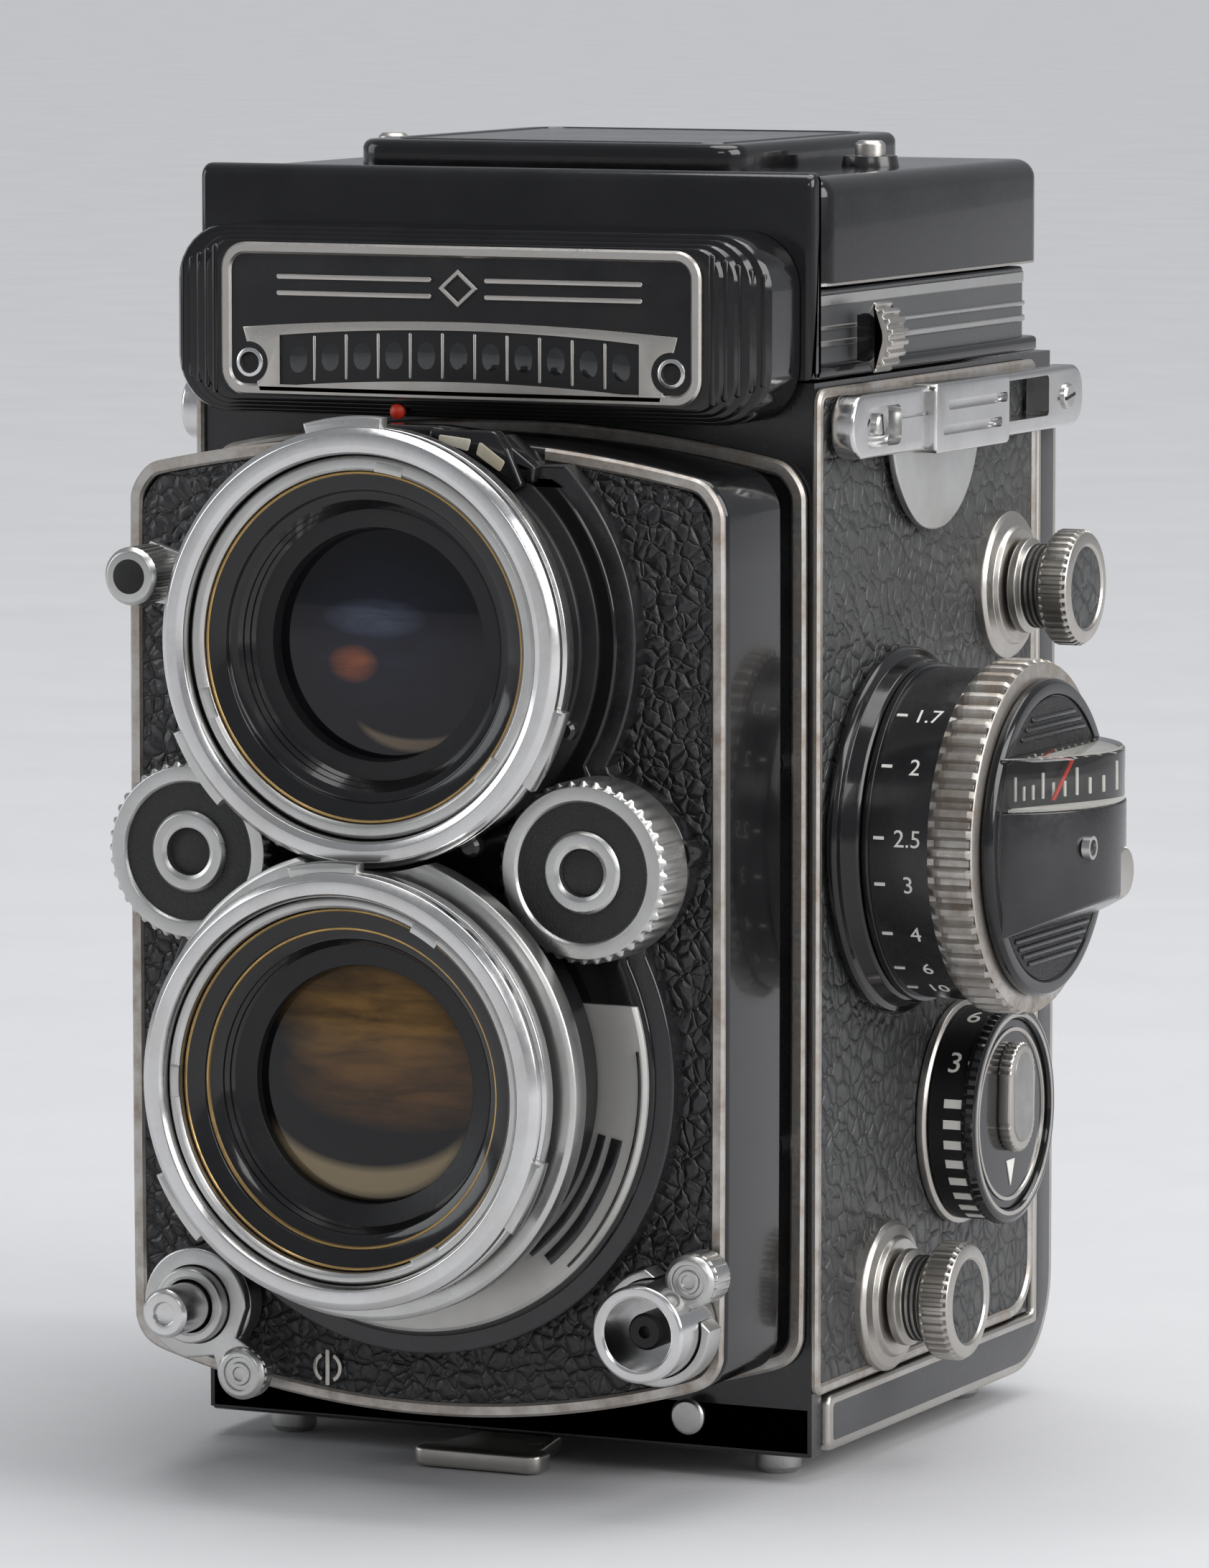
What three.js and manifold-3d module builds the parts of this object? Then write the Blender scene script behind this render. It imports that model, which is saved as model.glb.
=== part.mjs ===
// Twin lens reflex camera, millimetres. Working frame: X right, Y to the rear, Z up, front of the
// body casting at y = 0, its underside at z = 0, middle of the body at x = 0.
import * as THREE from 'three';
import { mergeVertices } from 'three/addons/utils/BufferGeometryUtils.js';
import Module from 'manifold-3d';

const wasm = await Module();
wasm.setup();

// ---- driving dimensions ----
const ORIGIN = { x: 9.65, y: 13.35, z: -3.3 };   // middle of the overall box, underside of the feet
const GAP = 0.2;                                  // clearance between touching pieces
const SHELL = { half: 37, rear: 62.2, top: 117.5, wall: 1.6, lip: 2.6, floor: 6.5, beam: 67.9 };
const PANEL = { inner: 37.2, outer: 37.9, y0: 0.4, y1: 61.8, z0: 7, z1: 116.6 };
const DOOR = { half: 37.8, rear: 68.7, skin: 1.5, top: 112.2, rail: 6.2, front: 2.9, cornerR: 11 };
const DOOR_HINGE = [68.9, 112.9];
const VIEW_Z = 90.4;                              // viewing lens axis
const TAKE_Z = 43.4;                              // taking lens axis
const STANDARD = { half: 35.7, front: -20, rear: -6, skin: 2.4, wall: 1.3 };
const RODS = [[31.8, 76], [-31.8, 76], [31.8, 34], [-31.8, 34]];
const ROD_R = 1.5;
const WHEEL = { x: 23.5, z: 66.9, r: 9.9, front: -31, teeth: 26 };
const RELEASE = [-25.5, 16.4];
const FLASH = [29.7, 17.6];
const SYNC = { x: -30.2, z: 96.6 };
const METER = { half: 35.8, z0: 113.2, z1: 133.9, front: -12, rear: -1.3 };
const FOCUS = { y: 20.9, z: 66.9, flange: 20.4, drum: 18.4, ring: 19.6, cap: 17.5, core: 4, flutes: 32 };
const MOON = { y: 20.3, chord: 28, sagitta: 8, base: 56.3, z0: 55, z1: 71.2, top: 77.4 };
const REMINDER = { y: 39.8, z: 33, r: 12.2 };
const UPPER = { y: 52.4, z: 91.7 };
const LOWER = { y: 18.5, z: 15.1 };
const CRANK = { y: 36, z: 78, arm: 24 };
const LUG = { z0: 108.5, z1: 116.1, y0: 1.5, y1: 68.3 };
const LID = { half: 37.2, y0: 1.9, y1: 65, z0: 127.8, top: 140.5, skin: 1.5, wall: 1 };
const LEAF = { length: 28, thick: 0.8, x: 34.5, z: 128.4, backY: 62, backZ: 131.2 };
const SPOOL = { flange: 12.5, core: 6, half: 31.5, keyR: 3 };

// ---- finishes ----
const finish = (color, roughness, metalness) => ({ color, roughness, metalness });
const blackEnamel = finish(0x0d0d0e, 0.22, 0.1);
const leather = finish(0x18181a, 0.75, 0);
const nickel = finish(0xb9b7b0, 0.35, 1);
const chrome = finish(0xd2d2d2, 0.16, 1);
const satinBlack = finish(0x1a1a1b, 0.5, 0.2);
const greyEnamel = finish(0x54565a, 0.45, 0.3);
const glass = finish(0x20242c, 0.05, 0);
const silvered = finish(0xd8dce0, 0.04, 1);
const feltBlack = finish(0x101010, 0.9, 0);

// ---- solids from outlines and profiles ----
function solid(geometry) {
  const bare = geometry.clone();
  bare.deleteAttribute('normal');
  bare.deleteAttribute('uv');
  const joined = mergeVertices(bare, 1e-4);
  const index = joined.index.array;
  const kept = [];
  for (let i = 0; i < index.length; i += 3) {
    const [a, b, c] = [index[i], index[i + 1], index[i + 2]];
    if (a !== b && b !== c && a !== c) kept.push(a, b, c);
  }
  return new wasm.Manifold(new wasm.Mesh({
    numProp: 3,
    vertProperties: new Float32Array(joined.attributes.position.array),
    triVerts: new Uint32Array(kept),
  }));
}

const toShape = (points) => new THREE.Shape(points.map(([u, v]) => new THREE.Vector2(u, v)));

function extruded(points, depth) {
  return new THREE.ExtrudeGeometry(toShape(points), { depth, bevelEnabled: false, steps: 1 });
}

// outline in (x, z), running from y0 to y1
function alongY(points, y0, y1) {
  return solid(extruded(points, y1 - y0).rotateX(Math.PI / 2).translate(0, y1, 0));
}

// outline in (x, y), running from z0 to z1
const alongZ = (points, z0, z1) => solid(extruded(points, z1 - z0).translate(0, 0, z0));

// outline in (y, z), running from x0 to x1
function alongX(points, x0, x1) {
  const cycle = new THREE.Matrix4().set(0, 0, 1, 0, 1, 0, 0, 0, 0, 1, 0, 0, 0, 0, 0, 1);
  return solid(extruded(points, x1 - x0).applyMatrix4(cycle).translate(x0, 0, 0));
}

function block(x0, x1, y0, y1, z0, z1) {
  const box = new THREE.BoxGeometry(x1 - x0, y1 - y0, z1 - z0);
  return solid(box.translate((x0 + x1) / 2, (y0 + y1) / 2, (z0 + z1) / 2));
}

// closed profile of [radius, position along the axis], turned about that axis
function turned(profile, segments) {
  const area = profile.reduce((sum, [r, a], i) => {
    const [r1, a1] = profile[(i + 1) % profile.length];
    return sum + r * a1 - r1 * a;
  }, 0);
  const ordered = area > 0 ? profile : [...profile].reverse();
  const onAxis = ordered.findIndex(([r], i) => r === 0 && ordered[(i + ordered.length - 1) % ordered.length][0] === 0);
  const start = onAxis < 0 ? 0 : onAxis;
  const loop = ordered.map((_, i) => ordered[(start + i) % ordered.length]);
  if (onAxis < 0) loop.push(loop[0]);
  return new THREE.LatheGeometry(loop.map(([r, a]) => new THREE.Vector2(r, a)), segments);
}

const turnedY = (profile, [x, z], segments = 24) => solid(turned(profile, segments).translate(x, 0, z));
const turnedX = (profile, [y, z], segments = 24) =>
  solid(turned(profile, segments).rotateZ(-Math.PI / 2).translate(0, y, z));
const turnedZ = (profile, [x, y], segments = 24) =>
  solid(turned(profile, segments).rotateX(Math.PI / 2).translate(x, y, 0));

const stub = (r, a0, a1) => [[0, a0], [r, a0], [r, a1], [0, a1]];
const tube = (r0, r1, a0, a1) => [[r0, a0], [r1, a0], [r1, a1], [r0, a1]];
const rodX = (r, at, x0, x1, segments = 16) => turnedX(stub(r, x0, x1), at, segments);
const rodY = (r, at, y0, y1, segments = 16) => turnedY(stub(r, y0, y1), at, segments);
const rodZ = (r, at, z0, z1, segments = 16) => turnedZ(stub(r, z0, z1), at, segments);

// ---- outlines ----
// polygon with each corner rounded by its radius
function rounded(corners, radius, steps = 3) {
  const out = [];
  corners.forEach((corner, i) => {
    const r = Array.isArray(radius) ? radius[i] : radius;
    const here = new THREE.Vector2(...corner);
    if (!r) { out.push(corner); return; }
    const back = new THREE.Vector2(...corners.at(i - 1)).sub(here).normalize();
    const on = new THREE.Vector2(...corners[(i + 1) % corners.length]).sub(here).normalize();
    const half = Math.acos(THREE.MathUtils.clamp(back.dot(on), -1, 1)) / 2;
    const centre = back.clone().add(on).normalize().multiplyScalar(r / Math.sin(half)).add(here);
    const from = back.clone().multiplyScalar(r / Math.tan(half)).add(here).sub(centre);
    const turn = (back.cross(on) > 0 ? -1 : 1) * (Math.PI - 2 * half);
    for (let k = 0; k <= steps; k++) {
      const p = from.clone().rotateAround(new THREE.Vector2(), turn * k / steps).add(centre);
      out.push([p.x, p.y]);
    }
  });
  return out;
}

const rectangle = (u0, u1, v0, v1, r = 0) => rounded([[u0, v0], [u1, v0], [u1, v1], [u0, v1]], r);

function circle(cu, cv, r, n = 24) {
  return Array.from({ length: n }, (_, i) => {
    const a = 2 * Math.PI * i / n;
    return [cu + r * Math.cos(a), cv + r * Math.sin(a)];
  });
}

// wheel outline with square-topped ribs
function ribbed(cu, cv, r, depth, ribs) {
  return Array.from({ length: ribs * 2 }, (_, i) => {
    const a = Math.PI * i / ribs;
    const edge = i % 2 ? r - depth : r;
    return [cu + edge * Math.cos(a), cv + edge * Math.sin(a)];
  });
}

// front outline of the lens standard: arched top and bottom, straight sides; grow moves it outwards
function standardOutline(grow = 0, steps = 6) {
  const half = STANDARD.half + grow;
  const arch = (from, to, mid, sag) => Array.from({ length: steps + 1 }, (_, i) => {
    const x = from + (to - from) * i / steps;
    return [x, mid + sag * (x / half) ** 2];
  });
  const topMid = 111.9 + grow, bottomMid = 5.2 - grow;
  const bottom = arch(-half + 3, half - 3, bottomMid, 6);
  const top = arch(half - 2.5, -half + 2.5, topMid, -4.2);
  return [...bottom, [half - 0.8, bottomMid + 6.7], [half, bottomMid + 9], [half, topMid - 8],
    [half - 0.7, topMid - 5.4], ...top, [-half + 0.7, topMid - 5.4], [-half, topMid - 8],
    [-half, bottomMid + 9], [-half + 0.8, bottomMid + 6.7]];
}

// ---- group ----
const group = new THREE.Group();
group.name = 'twin_lens_reflex_camera';

function add(name, shape, look) {
  const data = shape.getMesh();
  const geometry = new THREE.BufferGeometry();
  geometry.setAttribute('position', new THREE.BufferAttribute(Float32Array.from(data.vertProperties), 3));
  geometry.setIndex([...data.triVerts]);
  geometry.translate(-ORIGIN.x, -ORIGIN.y, -ORIGIN.z);
  geometry.computeVertexNormals();
  const mesh = new THREE.Mesh(geometry, new THREE.MeshStandardMaterial(look));
  mesh.name = name;
  group.add(mesh);
}

// ---- body casting: side walls, front wall and the partitions between the chambers ----
function bodyShell() {
  const { half, rear, top, wall, lip, floor, beam } = SHELL;
  const inside = half - wall;
  const edge = rear + 1, under = -1;
  let shell = alongX([[0, 0], [lip, 0], [lip, floor], [rear, floor], [rear, 113], [beam, 113],
    [beam, top], [0, top]], -half, half);
  shell = shell.add(alongY(rectangle(-33, 33, 13.5, 103.5, 3), -5, 0.5));
  const mirrorRoom = [[2, 72.5], [6, 70.5], [48.5, 113], [58.5, 113], [58.5, top + 1], [2, top + 1]];
  const takeUpRoom = [[26, 76], [58, 76], [58, 110], [48.9, 110], [26, 87.1]];
  const lightRoom = [[2, 31.5], [33, 31.5], [57.5, 15.4], [59, 15.4], [59, 71.4], [56, 71.4], [24, 60.5], [2, 60.5]];
  const supplyRoom = [[3.2, under], [59, under], [59, 13.4], [54.5, 13.4], [34, 28], [32, 29.2], [3.2, 29.2]];
  shell = shell.subtract(alongX(mirrorRoom, -33.5, 33.5))
    .subtract(alongX(takeUpRoom, -inside, inside))
    .subtract(alongX(lightRoom, -34, 34))
    .subtract(alongX(supplyRoom, -inside, inside))
    .subtract(block(-inside, inside, 58, edge, under, 110));
  shell = shell.subtract(rodY(18.8, [0, VIEW_Z], -6, 2.5, 24)).subtract(rodY(21.4, [0, TAKE_Z], -6, 2.5, 24));
  for (const at of RODS) shell = shell.subtract(rodY(ROD_R + 0.15, at, -6, 3, 12));
  for (const spool of [UPPER, LOWER]) {
    shell = shell.subtract(rodX(2.4, [spool.y, spool.z], inside - 1, half + 1));
  }
  return shell.subtract(rodX(6.3, [FOCUS.y, FOCUS.z], 33, half + 1))
    .subtract(rodX(2.6, [CRANK.y, CRANK.z], -half - 1, -30));
}

// leathered plate with its bright rim; side is +1 for the right, -1 for the left
function sidePanel(side) {
  const { inner, outer, y0, y1, z0, z1 } = PANEL;
  const outline = rounded([[y0, z0], [y1, z0], [y1, z1], [y0, z1]], [1, 6, 1.5, 1.5]);
  const [from, to] = side > 0 ? [inner, outer] : [-outer, -inner];
  let panel = alongX(outline, from, to);
  if (side < 0) return panel.subtract(rodX(2.6, [CRANK.y, CRANK.z], from - 1, to + 1));
  for (const spool of [UPPER, LOWER]) {
    panel = panel.add(turnedX([[0, to - 0.1], [8.4, to - 0.1], [8.4, to + 0.9], [6.6, to + 1.9], [0, to + 1.9]],
      [spool.y, spool.z], 20)).subtract(rodX(2.4, [spool.y, spool.z], from - 1, to + 3));
  }
  return panel.subtract(rodX(6.3, [FOCUS.y, FOCUS.z], from - 1, to + 1))
    .subtract(rodX(1.6, [REMINDER.y, REMINDER.z], from - 1, to + 1));
}

function frontTrim() {
  return alongY(standardOutline(0.6), -0.9, -GAP).subtract(alongY(standardOutline(-0.9), -2, 1));
}

// plate lying on the sloping wall of the mirror room
function mirror() {
  const along = Math.SQRT1_2;
  const at = (y, z, off) => [y - off * along, z + off * along];
  return alongX([at(9, 73.5, 0.3), at(45, 109.5, 0.3), at(45, 109.5, 1.8), at(9, 73.5, 1.8)], -29.5, 29.5);
}

const focusingScreen = () => block(-30.5, 30.5, 4.5, 57.5, 114.4, 116.4);

function filmGate() {
  const opening = block(-28, 28, 57, 61, 15.4, 71.4);
  return block(-35, 35, 58.3, 60, 13.6, 73.2).subtract(opening);
}

const roller = (z) => rodX(2.6, [60, z], -31, 31, 16);

function spool({ y, z }) {
  const { flange, core, half, keyR } = SPOOL;
  const profile = [[keyR, -half], [flange, -half], [flange, 1.2 - half], [core, 1.2 - half],
    [core, half - 1.2], [flange, half - 1.2], [flange, half], [keyR, half]];
  return turnedX(profile, [y, z], 20);
}

// ---- hinged back with its bottom ----
function backDoor() {
  const { half, rear, skin, top, rail, front, cornerR } = DOOR;
  const outline = rounded([[front, 0], [rear, 0], [rear, top], [front, top]], [0, cornerR, 0, 0], 6);
  let door = alongX(outline, -half, half);
  const hollow = rounded([[front - 1, skin], [rear - skin, skin], [rear - skin, top - skin], [front - 1, top - skin]],
    [0, cornerR - skin, 0, 0], 6);
  door = door.subtract(alongX(hollow, -half + 1.5, half - 1.5))
    .subtract(block(-half - 1, half + 1, front - 1, SHELL.rear + 0.3, rail, top + 1));
  door = door.add(block(-16, 16, 31, 47, -0.9, 0.2));
  for (const x of [-30, 30]) {
    for (const y of [7, 58]) door = door.add(rodZ(2.6, [x, y], ORIGIN.z, 0.2, 12));
  }
  return door.subtract(rodZ(5.7, [0, 39], -2, 3, 20));
}

const tripodBush = () => turnedZ(tube(3.4, 5.4, -1.6, 2.2), [0, 39], 20);

const pressurePlate = () => block(-31, 31, 63.2, 64.6, 12.5, 74.5);

function latchLever() {
  const link = alongZ([[-4, 6.5], [-6.5, -5], [6.5, -5], [4, 6.5]], -2.6, -1);
  return link.add(alongZ(rectangle(-7.8, 7.6, -8.2, -4, 1.5), -3.1, -1));
}

// ---- lens standard ----
function platform() {
  const disc = (u, v, r, n) => alongY(circle(u, v, r, n), -23.5, STANDARD.front + 0.2);
  let raised = disc(0, TAKE_Z, 31, 28).add(disc(0, VIEW_Z, 26.5, 28));
  for (const side of [-1, 1]) raised = raised.add(disc(side * WHEEL.x, WHEEL.z, 9.2, 16));
  raised = raised.add(block(-24, 24, -23.5, STANDARD.front + 0.2, 58, 76));
  return raised.intersect(alongY(standardOutline(-2.1), -24, STANDARD.front + 1));
}

function standardCasting() {
  const { front, rear, skin, wall } = STANDARD;
  let casting = alongY(standardOutline(), front, rear)
    .subtract(alongY(standardOutline(-wall), front + skin, rear + 1)).add(platform());
  casting = casting.subtract(rodY(20.4, [0, VIEW_Z], -30, rear, 24)).subtract(rodY(21.4, [0, TAKE_Z], -30, rear, 24));
  for (const side of [-1, 1]) casting = casting.subtract(rodY(2.3, [side * WHEEL.x, WHEEL.z], -30, rear, 12));
  for (const at of RODS) casting = casting.add(rodY(ROD_R, at, front + 1, 6, 12));
  return casting.subtract(rodY(3.2, RELEASE, -30, -10)).subtract(rodY(4.2, FLASH, -30, -10));
}

function standardLeatherette() {
  const { front } = STANDARD;
  const sheet = alongY(standardOutline(-1.9), front - 0.4, front - 0.15);
  return sheet.subtract(alongY(circle(0, TAKE_Z, 31.4, 28), -25, -19)).subtract(alongY(circle(0, VIEW_Z, 26.9, 28), -25, -19))
    .subtract(block(-24.4, 24.4, -25, -19, 57, 77)).subtract(block(-13.5, 13.5, -25, -19, 100, 113))
    .subtract(rodY(9.5, [WHEEL.x, WHEEL.z], -25, -19, 16)).subtract(rodY(9.5, [-WHEEL.x, WHEEL.z], -25, -19, 16))
    .subtract(rodY(3.3, RELEASE, -25, -19, 20)).subtract(rodY(4.3, FLASH, -25, -19, 20));
}

function standardRim() {
  const { front } = STANDARD;
  const band = alongY(standardOutline(), front - 0.6, front - 0.15).subtract(alongY(standardOutline(-1.5), -25, -15));
  return band.subtract(block(-15.9, 14.7, -25, -15, 100, 115));
}

// barrel with bayonet ring, inner name cone, seat for the front glass and rear tube
function lensBarrel({ z, ring, lip, glassR, front, cone, waist, base, rearR, rear }) {
  const profile = [[glassR, cone], [lip, front + 1.6], [lip, front], [ring, front], [ring, front + 4.8],
    [waist, front + 4.8], [waist, base], [rearR, base], [rearR, rear], [glassR - 2, rear],
    [glassR - 2, cone + 5], [glassR, cone + 5]];
  return turnedY(profile, [0, z], 28);
}

const VIEWING = { z: VIEW_Z, ring: 23.6, lip: 19.2, glassR: 13.6, front: -37, cone: -31, waist: 21, base: -24,
  rearR: 17.6, rear: -3 };
const TAKING = { z: TAKE_Z, ring: 23.6, lip: 20.7, glassR: 14.1, front: -42, cone: -35, waist: 22.8, base: -32.2,
  rearR: 15.1, rear: -24 };

// taking barrel with the wide ring at its root, cleared for the viewing lens above it
function takingBarrel() {
  const root = turnedY(tube(22, 25.5, -36.4, -33), [0, TAKE_Z], 28).subtract(rodY(24, [0, VIEW_Z], -40, -30, 28));
  return lensBarrel(TAKING).add(root);
}

// dished glass between y0 and y1, bulging forward
function element(r, [x, z], y0, y1, bulge) {
  return turnedY([[0, y0 - bulge], [r * 0.55, y0 - bulge * 0.7], [r, y0], [r, y1], [0, y1]], [x, z], 20);
}

const shutterCase = () => turnedY([[15.4, -31.8], [22.9, -31.8], [22.9, -24.9], [20.8, -24.9], [20.8, -3.5],
  [11.4, -3.5], [11.4, 2.2], [10, 2.2], [10, -5], [13, -5], [13, -18], [15.4, -18]], [0, TAKE_Z], 24);

function shutterFacePlate() {
  const plate = turnedY(tube(22, 28.4, -24.4, -23.7), [0, TAKE_Z], 28);
  return plate.subtract(block(-34, 34, -26, -22, 52, 75));
}

const irisRing = () => turnedY(tube(6, 12.6, -14, -13), [0, TAKE_Z], 20);

function thumbWheel(side) {
  const at = [side * WHEEL.x, WHEEL.z];
  const rim = alongY(ribbed(...at, WHEEL.r, 0.5, WHEEL.teeth), WHEEL.front, -24.6);
  const dish = turnedY(tube(4, 7.6, -35, WHEEL.front + 0.6), at, 16);
  return rim.subtract(dish).add(rodY(2, at, -25, -16));
}

const releaseSocket = () => turnedY([[3, -27.4], [4.2, -27.4], [4.2, -24], [5.9, -24], [5.9, -21], [3, -21]], RELEASE, 20);
const releaseButton = () => turnedY([[0, -32.4], [1.2, -32.4], [1.2, -33.2], [2.7, -33.2], [2.7, -12], [0, -12]], RELEASE, 12);

function flashSocket() {
  const shell = [[0, -21], [0, -23], [3.9, -23], [3.9, -30], [5.3, -30], [5.3, -21]];
  return turnedY(shell, FLASH, 20).add(rodY(0.9, FLASH, -28, -22, 8));
}

// small arm swinging about a socket, with a round end at the given point
function lockLever(pivot, end, inner, outer, y0, y1) {
  const dx = end[0] - pivot[0], dz = end[1] - pivot[1];
  const length = Math.hypot(dx, dz);
  const nx = -dz / length, nz = dx / length;
  const arm = [[pivot[0] + nx * 4, pivot[1] + nz * 4], [pivot[0] - nx * 4, pivot[1] - nz * 4],
    [end[0] - nx * 2.6, end[1] - nz * 2.6], [end[0] + nx * 2.6, end[1] + nz * 2.6]].reverse();
  return alongY(circle(...pivot, outer, 16), y0, y1).add(alongY(arm, y0, y1))
    .add(alongY(circle(...end, 3, 12), y0 - 0.8, y1)).subtract(rodY(inner, pivot, y0 - 2, y1 + 2, 20));
}

function syncLever() {
  const { x, z } = SYNC;
  const reach = Math.hypot(x, z - VIEW_Z);
  const sweep = Math.atan2(z - VIEW_Z, x);
  const wedge = [[0, VIEW_Z], [40 * Math.cos(sweep + 0.14), VIEW_Z + 40 * Math.sin(sweep + 0.14)],
    [40 * Math.cos(sweep - 0.14), VIEW_Z + 40 * Math.sin(sweep - 0.14)]].reverse();
  const arm = turnedY(tube(24.3, reach + 1.4, -26, -24.8), [0, VIEW_Z], 28).intersect(alongY(wedge, -30, -20));
  const link = turnedY(tube(24.3, 25.4, -26, -24.8), [0, VIEW_Z], 28)
    .intersect(alongY([[-30, VIEW_Z - 5], [-10, VIEW_Z - 5], [-10, VIEW_Z + 22], [-30, VIEW_Z + 16]], -30, -20));
  return arm.add(link).add(alongY(ribbed(x, z, 3.2, 0.35, 14), -31.4, -25));
}

// small housing over the viewing lens that shows the two settings
const readoutWindow = () => alongY([[3.3, 112], [11.1, 109.2], [13.4, 107], [14.4, 107.2], [11.6, 113.3], [3.3, 113.3]],
  -26, -23.7);

// ---- light meter housing ----
function meterHousing() {
  const { half, z0, z1, front, rear } = METER;
  const steps = [[0, front], [1.4, front + 1.2], [2.8, front + 2.4]];
  let housing = alongY(rectangle(-half, half, z0, z1, 6), front + 2.4, rear);
  for (const [inset, y] of steps.slice(0, 2)) {
    housing = housing.add(alongY(rectangle(-half + 4 - inset, half - 4 + inset, z0 + 0.4, z1 - 0.4, 4), y, front + 3));
  }
  return housing.subtract(alongY(cellOutline(0.2), front - 1, front + 2.2));
}

function cellOutline(grow = 0) {
  const arch = (from, to, side, sag) => Array.from({ length: 7 }, (_, i) => {
    const x = from + (to - from) * i / 6;
    return [x, side + sag * (1 - (x / 22) ** 2)];
  });
  return [...arch(-21.3 - grow, 21.3 + grow, 116.5 - grow, 1.1), ...arch(22.1 + grow, -22.1 - grow, 121.9 + grow, 1)];
}

const meterCellWindow = () => alongY(cellOutline(), METER.front + 0.3, METER.front + 2);

// ---- finder hood ----
function hoodBase() {
  const flange = alongZ(rectangle(-37.2, 37.2, -1, 65, 2), 117.8, 119.4);
  const walls = alongZ(rectangle(-36.4, 36.4, 0, 62.6, 2), 119, 127.4);
  const rearWall = block(-34, 34, 61.2, 62.6, 127, 130.4);
  const bandSide = rounded([[-1, 117.8], [1.6, 117.8], [1.6, 140.2], [-1, 140.2]], [0, 0, 0.5, 2]);
  return flange.add(walls).subtract(block(-35, 35, 1.6, 61.2, 119.4, 128)).subtract(block(-32, 32, 4, 58, 117, 120))
    .add(rearWall).add(alongX(bandSide, -37.2, 37.2));
}

function hoodLid() {
  const { half, y0, y1, z0, top, skin, wall } = LID;
  const arcR = 5;
  let lid = alongX(rounded([[y0, z0], [y1, z0], [y1, top], [y0, top]], [arcR, 1, 2, 0.6]), -half, half);
  lid = lid.subtract(block(-half + wall, half - wall, y0 - 1, y1 - wall, z0 - 1, top - skin));
  lid = lid.add(alongZ(rectangle(-22.5, 22.5, 9.5, 57, 2), top - 0.5, 142.8));
  for (const x of [-29.6, 29.6]) lid = lid.add(rodZ(1.7, [x, 32.5], top - 0.5, 142.6));
  return lid;
}

// side leaf lying flat, hinged along Y beside the lid's skirt
function sideLeaf(side) {
  const { length, thick, x, z } = LEAF;
  const outline = [[x, 7], [x - 12, 7], [x - length, 15.5], [x - length, 60 - length], [x, 60]]
    .map(([u, v]) => [side * u, v]);
  return alongZ(side > 0 ? outline.reverse() : outline, z - thick / 2, z + thick / 2);
}

function backLeaf() {
  const { length, thick, backY, backZ } = LEAF;
  return alongZ(rectangle(-33, 33, backY - length, backY, 0), backZ - thick / 2, backZ + thick / 2);
}

function magnifierFrame() {
  return alongZ(rectangle(-14, 14, 28.2, 58, 3), 134.6, 136.9).subtract(rodZ(11.5, [0, 43.5], 134, 138, 20));
}

const magnifierLens = () => turnedZ([[0, 134.5], [11.2, 135.3], [11.2, 136.2], [0, 137]], [0, 43.5], 20);

function hoodCatch(side) {
  const hub = 37.6;
  const ribs = 5, r = 4.4, spread = Math.PI / 3;
  const rim = Array.from({ length: ribs * 2 + 1 }, (_, i) => {
    const a = -spread + 2 * spread * i / (ribs * 2);
    const edge = i % 2 ? r - 0.6 : r;
    return [side * (hub + edge * Math.cos(a)), 122 + edge * Math.sin(a)];
  });
  const outline = [[side * hub, 122], ...rim];
  return alongY(side > 0 ? outline : outline.reverse(), 10, 14.6);
}

// ---- strap lugs: slotted bar with hook, sliding plate and half-round tongue ----
function strapLug(side) {
  const { z0, z1, y0, y1 } = LUG;
  const inner = 38.2, outer = 41;
  const bar = alongX(rectangle(y0, y1, z0 + 0.6, z1, 3), inner, outer)
    .add(alongX(rectangle(22.5, 44, z0, z1 + 0.2, 0.8), inner, outer + 0.9))
    .subtract(alongX(rectangle(5.3, 14.8, 110.2, 114.6, 1), inner + 1, outer + 1))
    .subtract(alongX(rectangle(44.2, 57.8, 110.7, 115.3, 0.5), inner - 1, outer + 1));
  const tongue = Array.from({ length: 13 }, (_, i) => {
    const a = Math.PI + Math.PI * i / 12;
    return [29.4 + 12.5 * Math.cos(a), 112.2 + 12.5 * Math.sin(a)];
  });
  let lug = bar.add(alongX(tongue, inner, inner + 0.9));
  for (const z of [110.6, 113.2]) lug = lug.subtract(block(outer, outer + 2, 25, 42, z, z + 1.1));
  return side > 0 ? lug : lug.mirror([1, 0, 0]);
}

// ---- right-hand controls ----
const focusFlange = () => turnedX([[6.3, 38.1], [FOCUS.flange, 38.1], [FOCUS.flange, 39.2], [FOCUS.drum + 0.7, 41.4], [6.3, 41.4]],
  [FOCUS.y, FOCUS.z], 28);

function focusKnob() {
  const at = [FOCUS.y, FOCUS.z];
  const drum = turnedX([[FOCUS.core + GAP, 35], [6.1, 35], [6.1, 41.7], [FOCUS.drum, 41.7], [FOCUS.drum, 49.6],
    [FOCUS.core + GAP, 49.6]], at, 28);
  const ring = alongX(ribbed(...at, FOCUS.ring, 0.7, FOCUS.flutes), 49.2, 55)
    .subtract(rodX(15.2, at, 49.6, 56, 28)).subtract(rodX(FOCUS.core + GAP, at, 49, 50, 28));
  return drum.add(ring);
}

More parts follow.
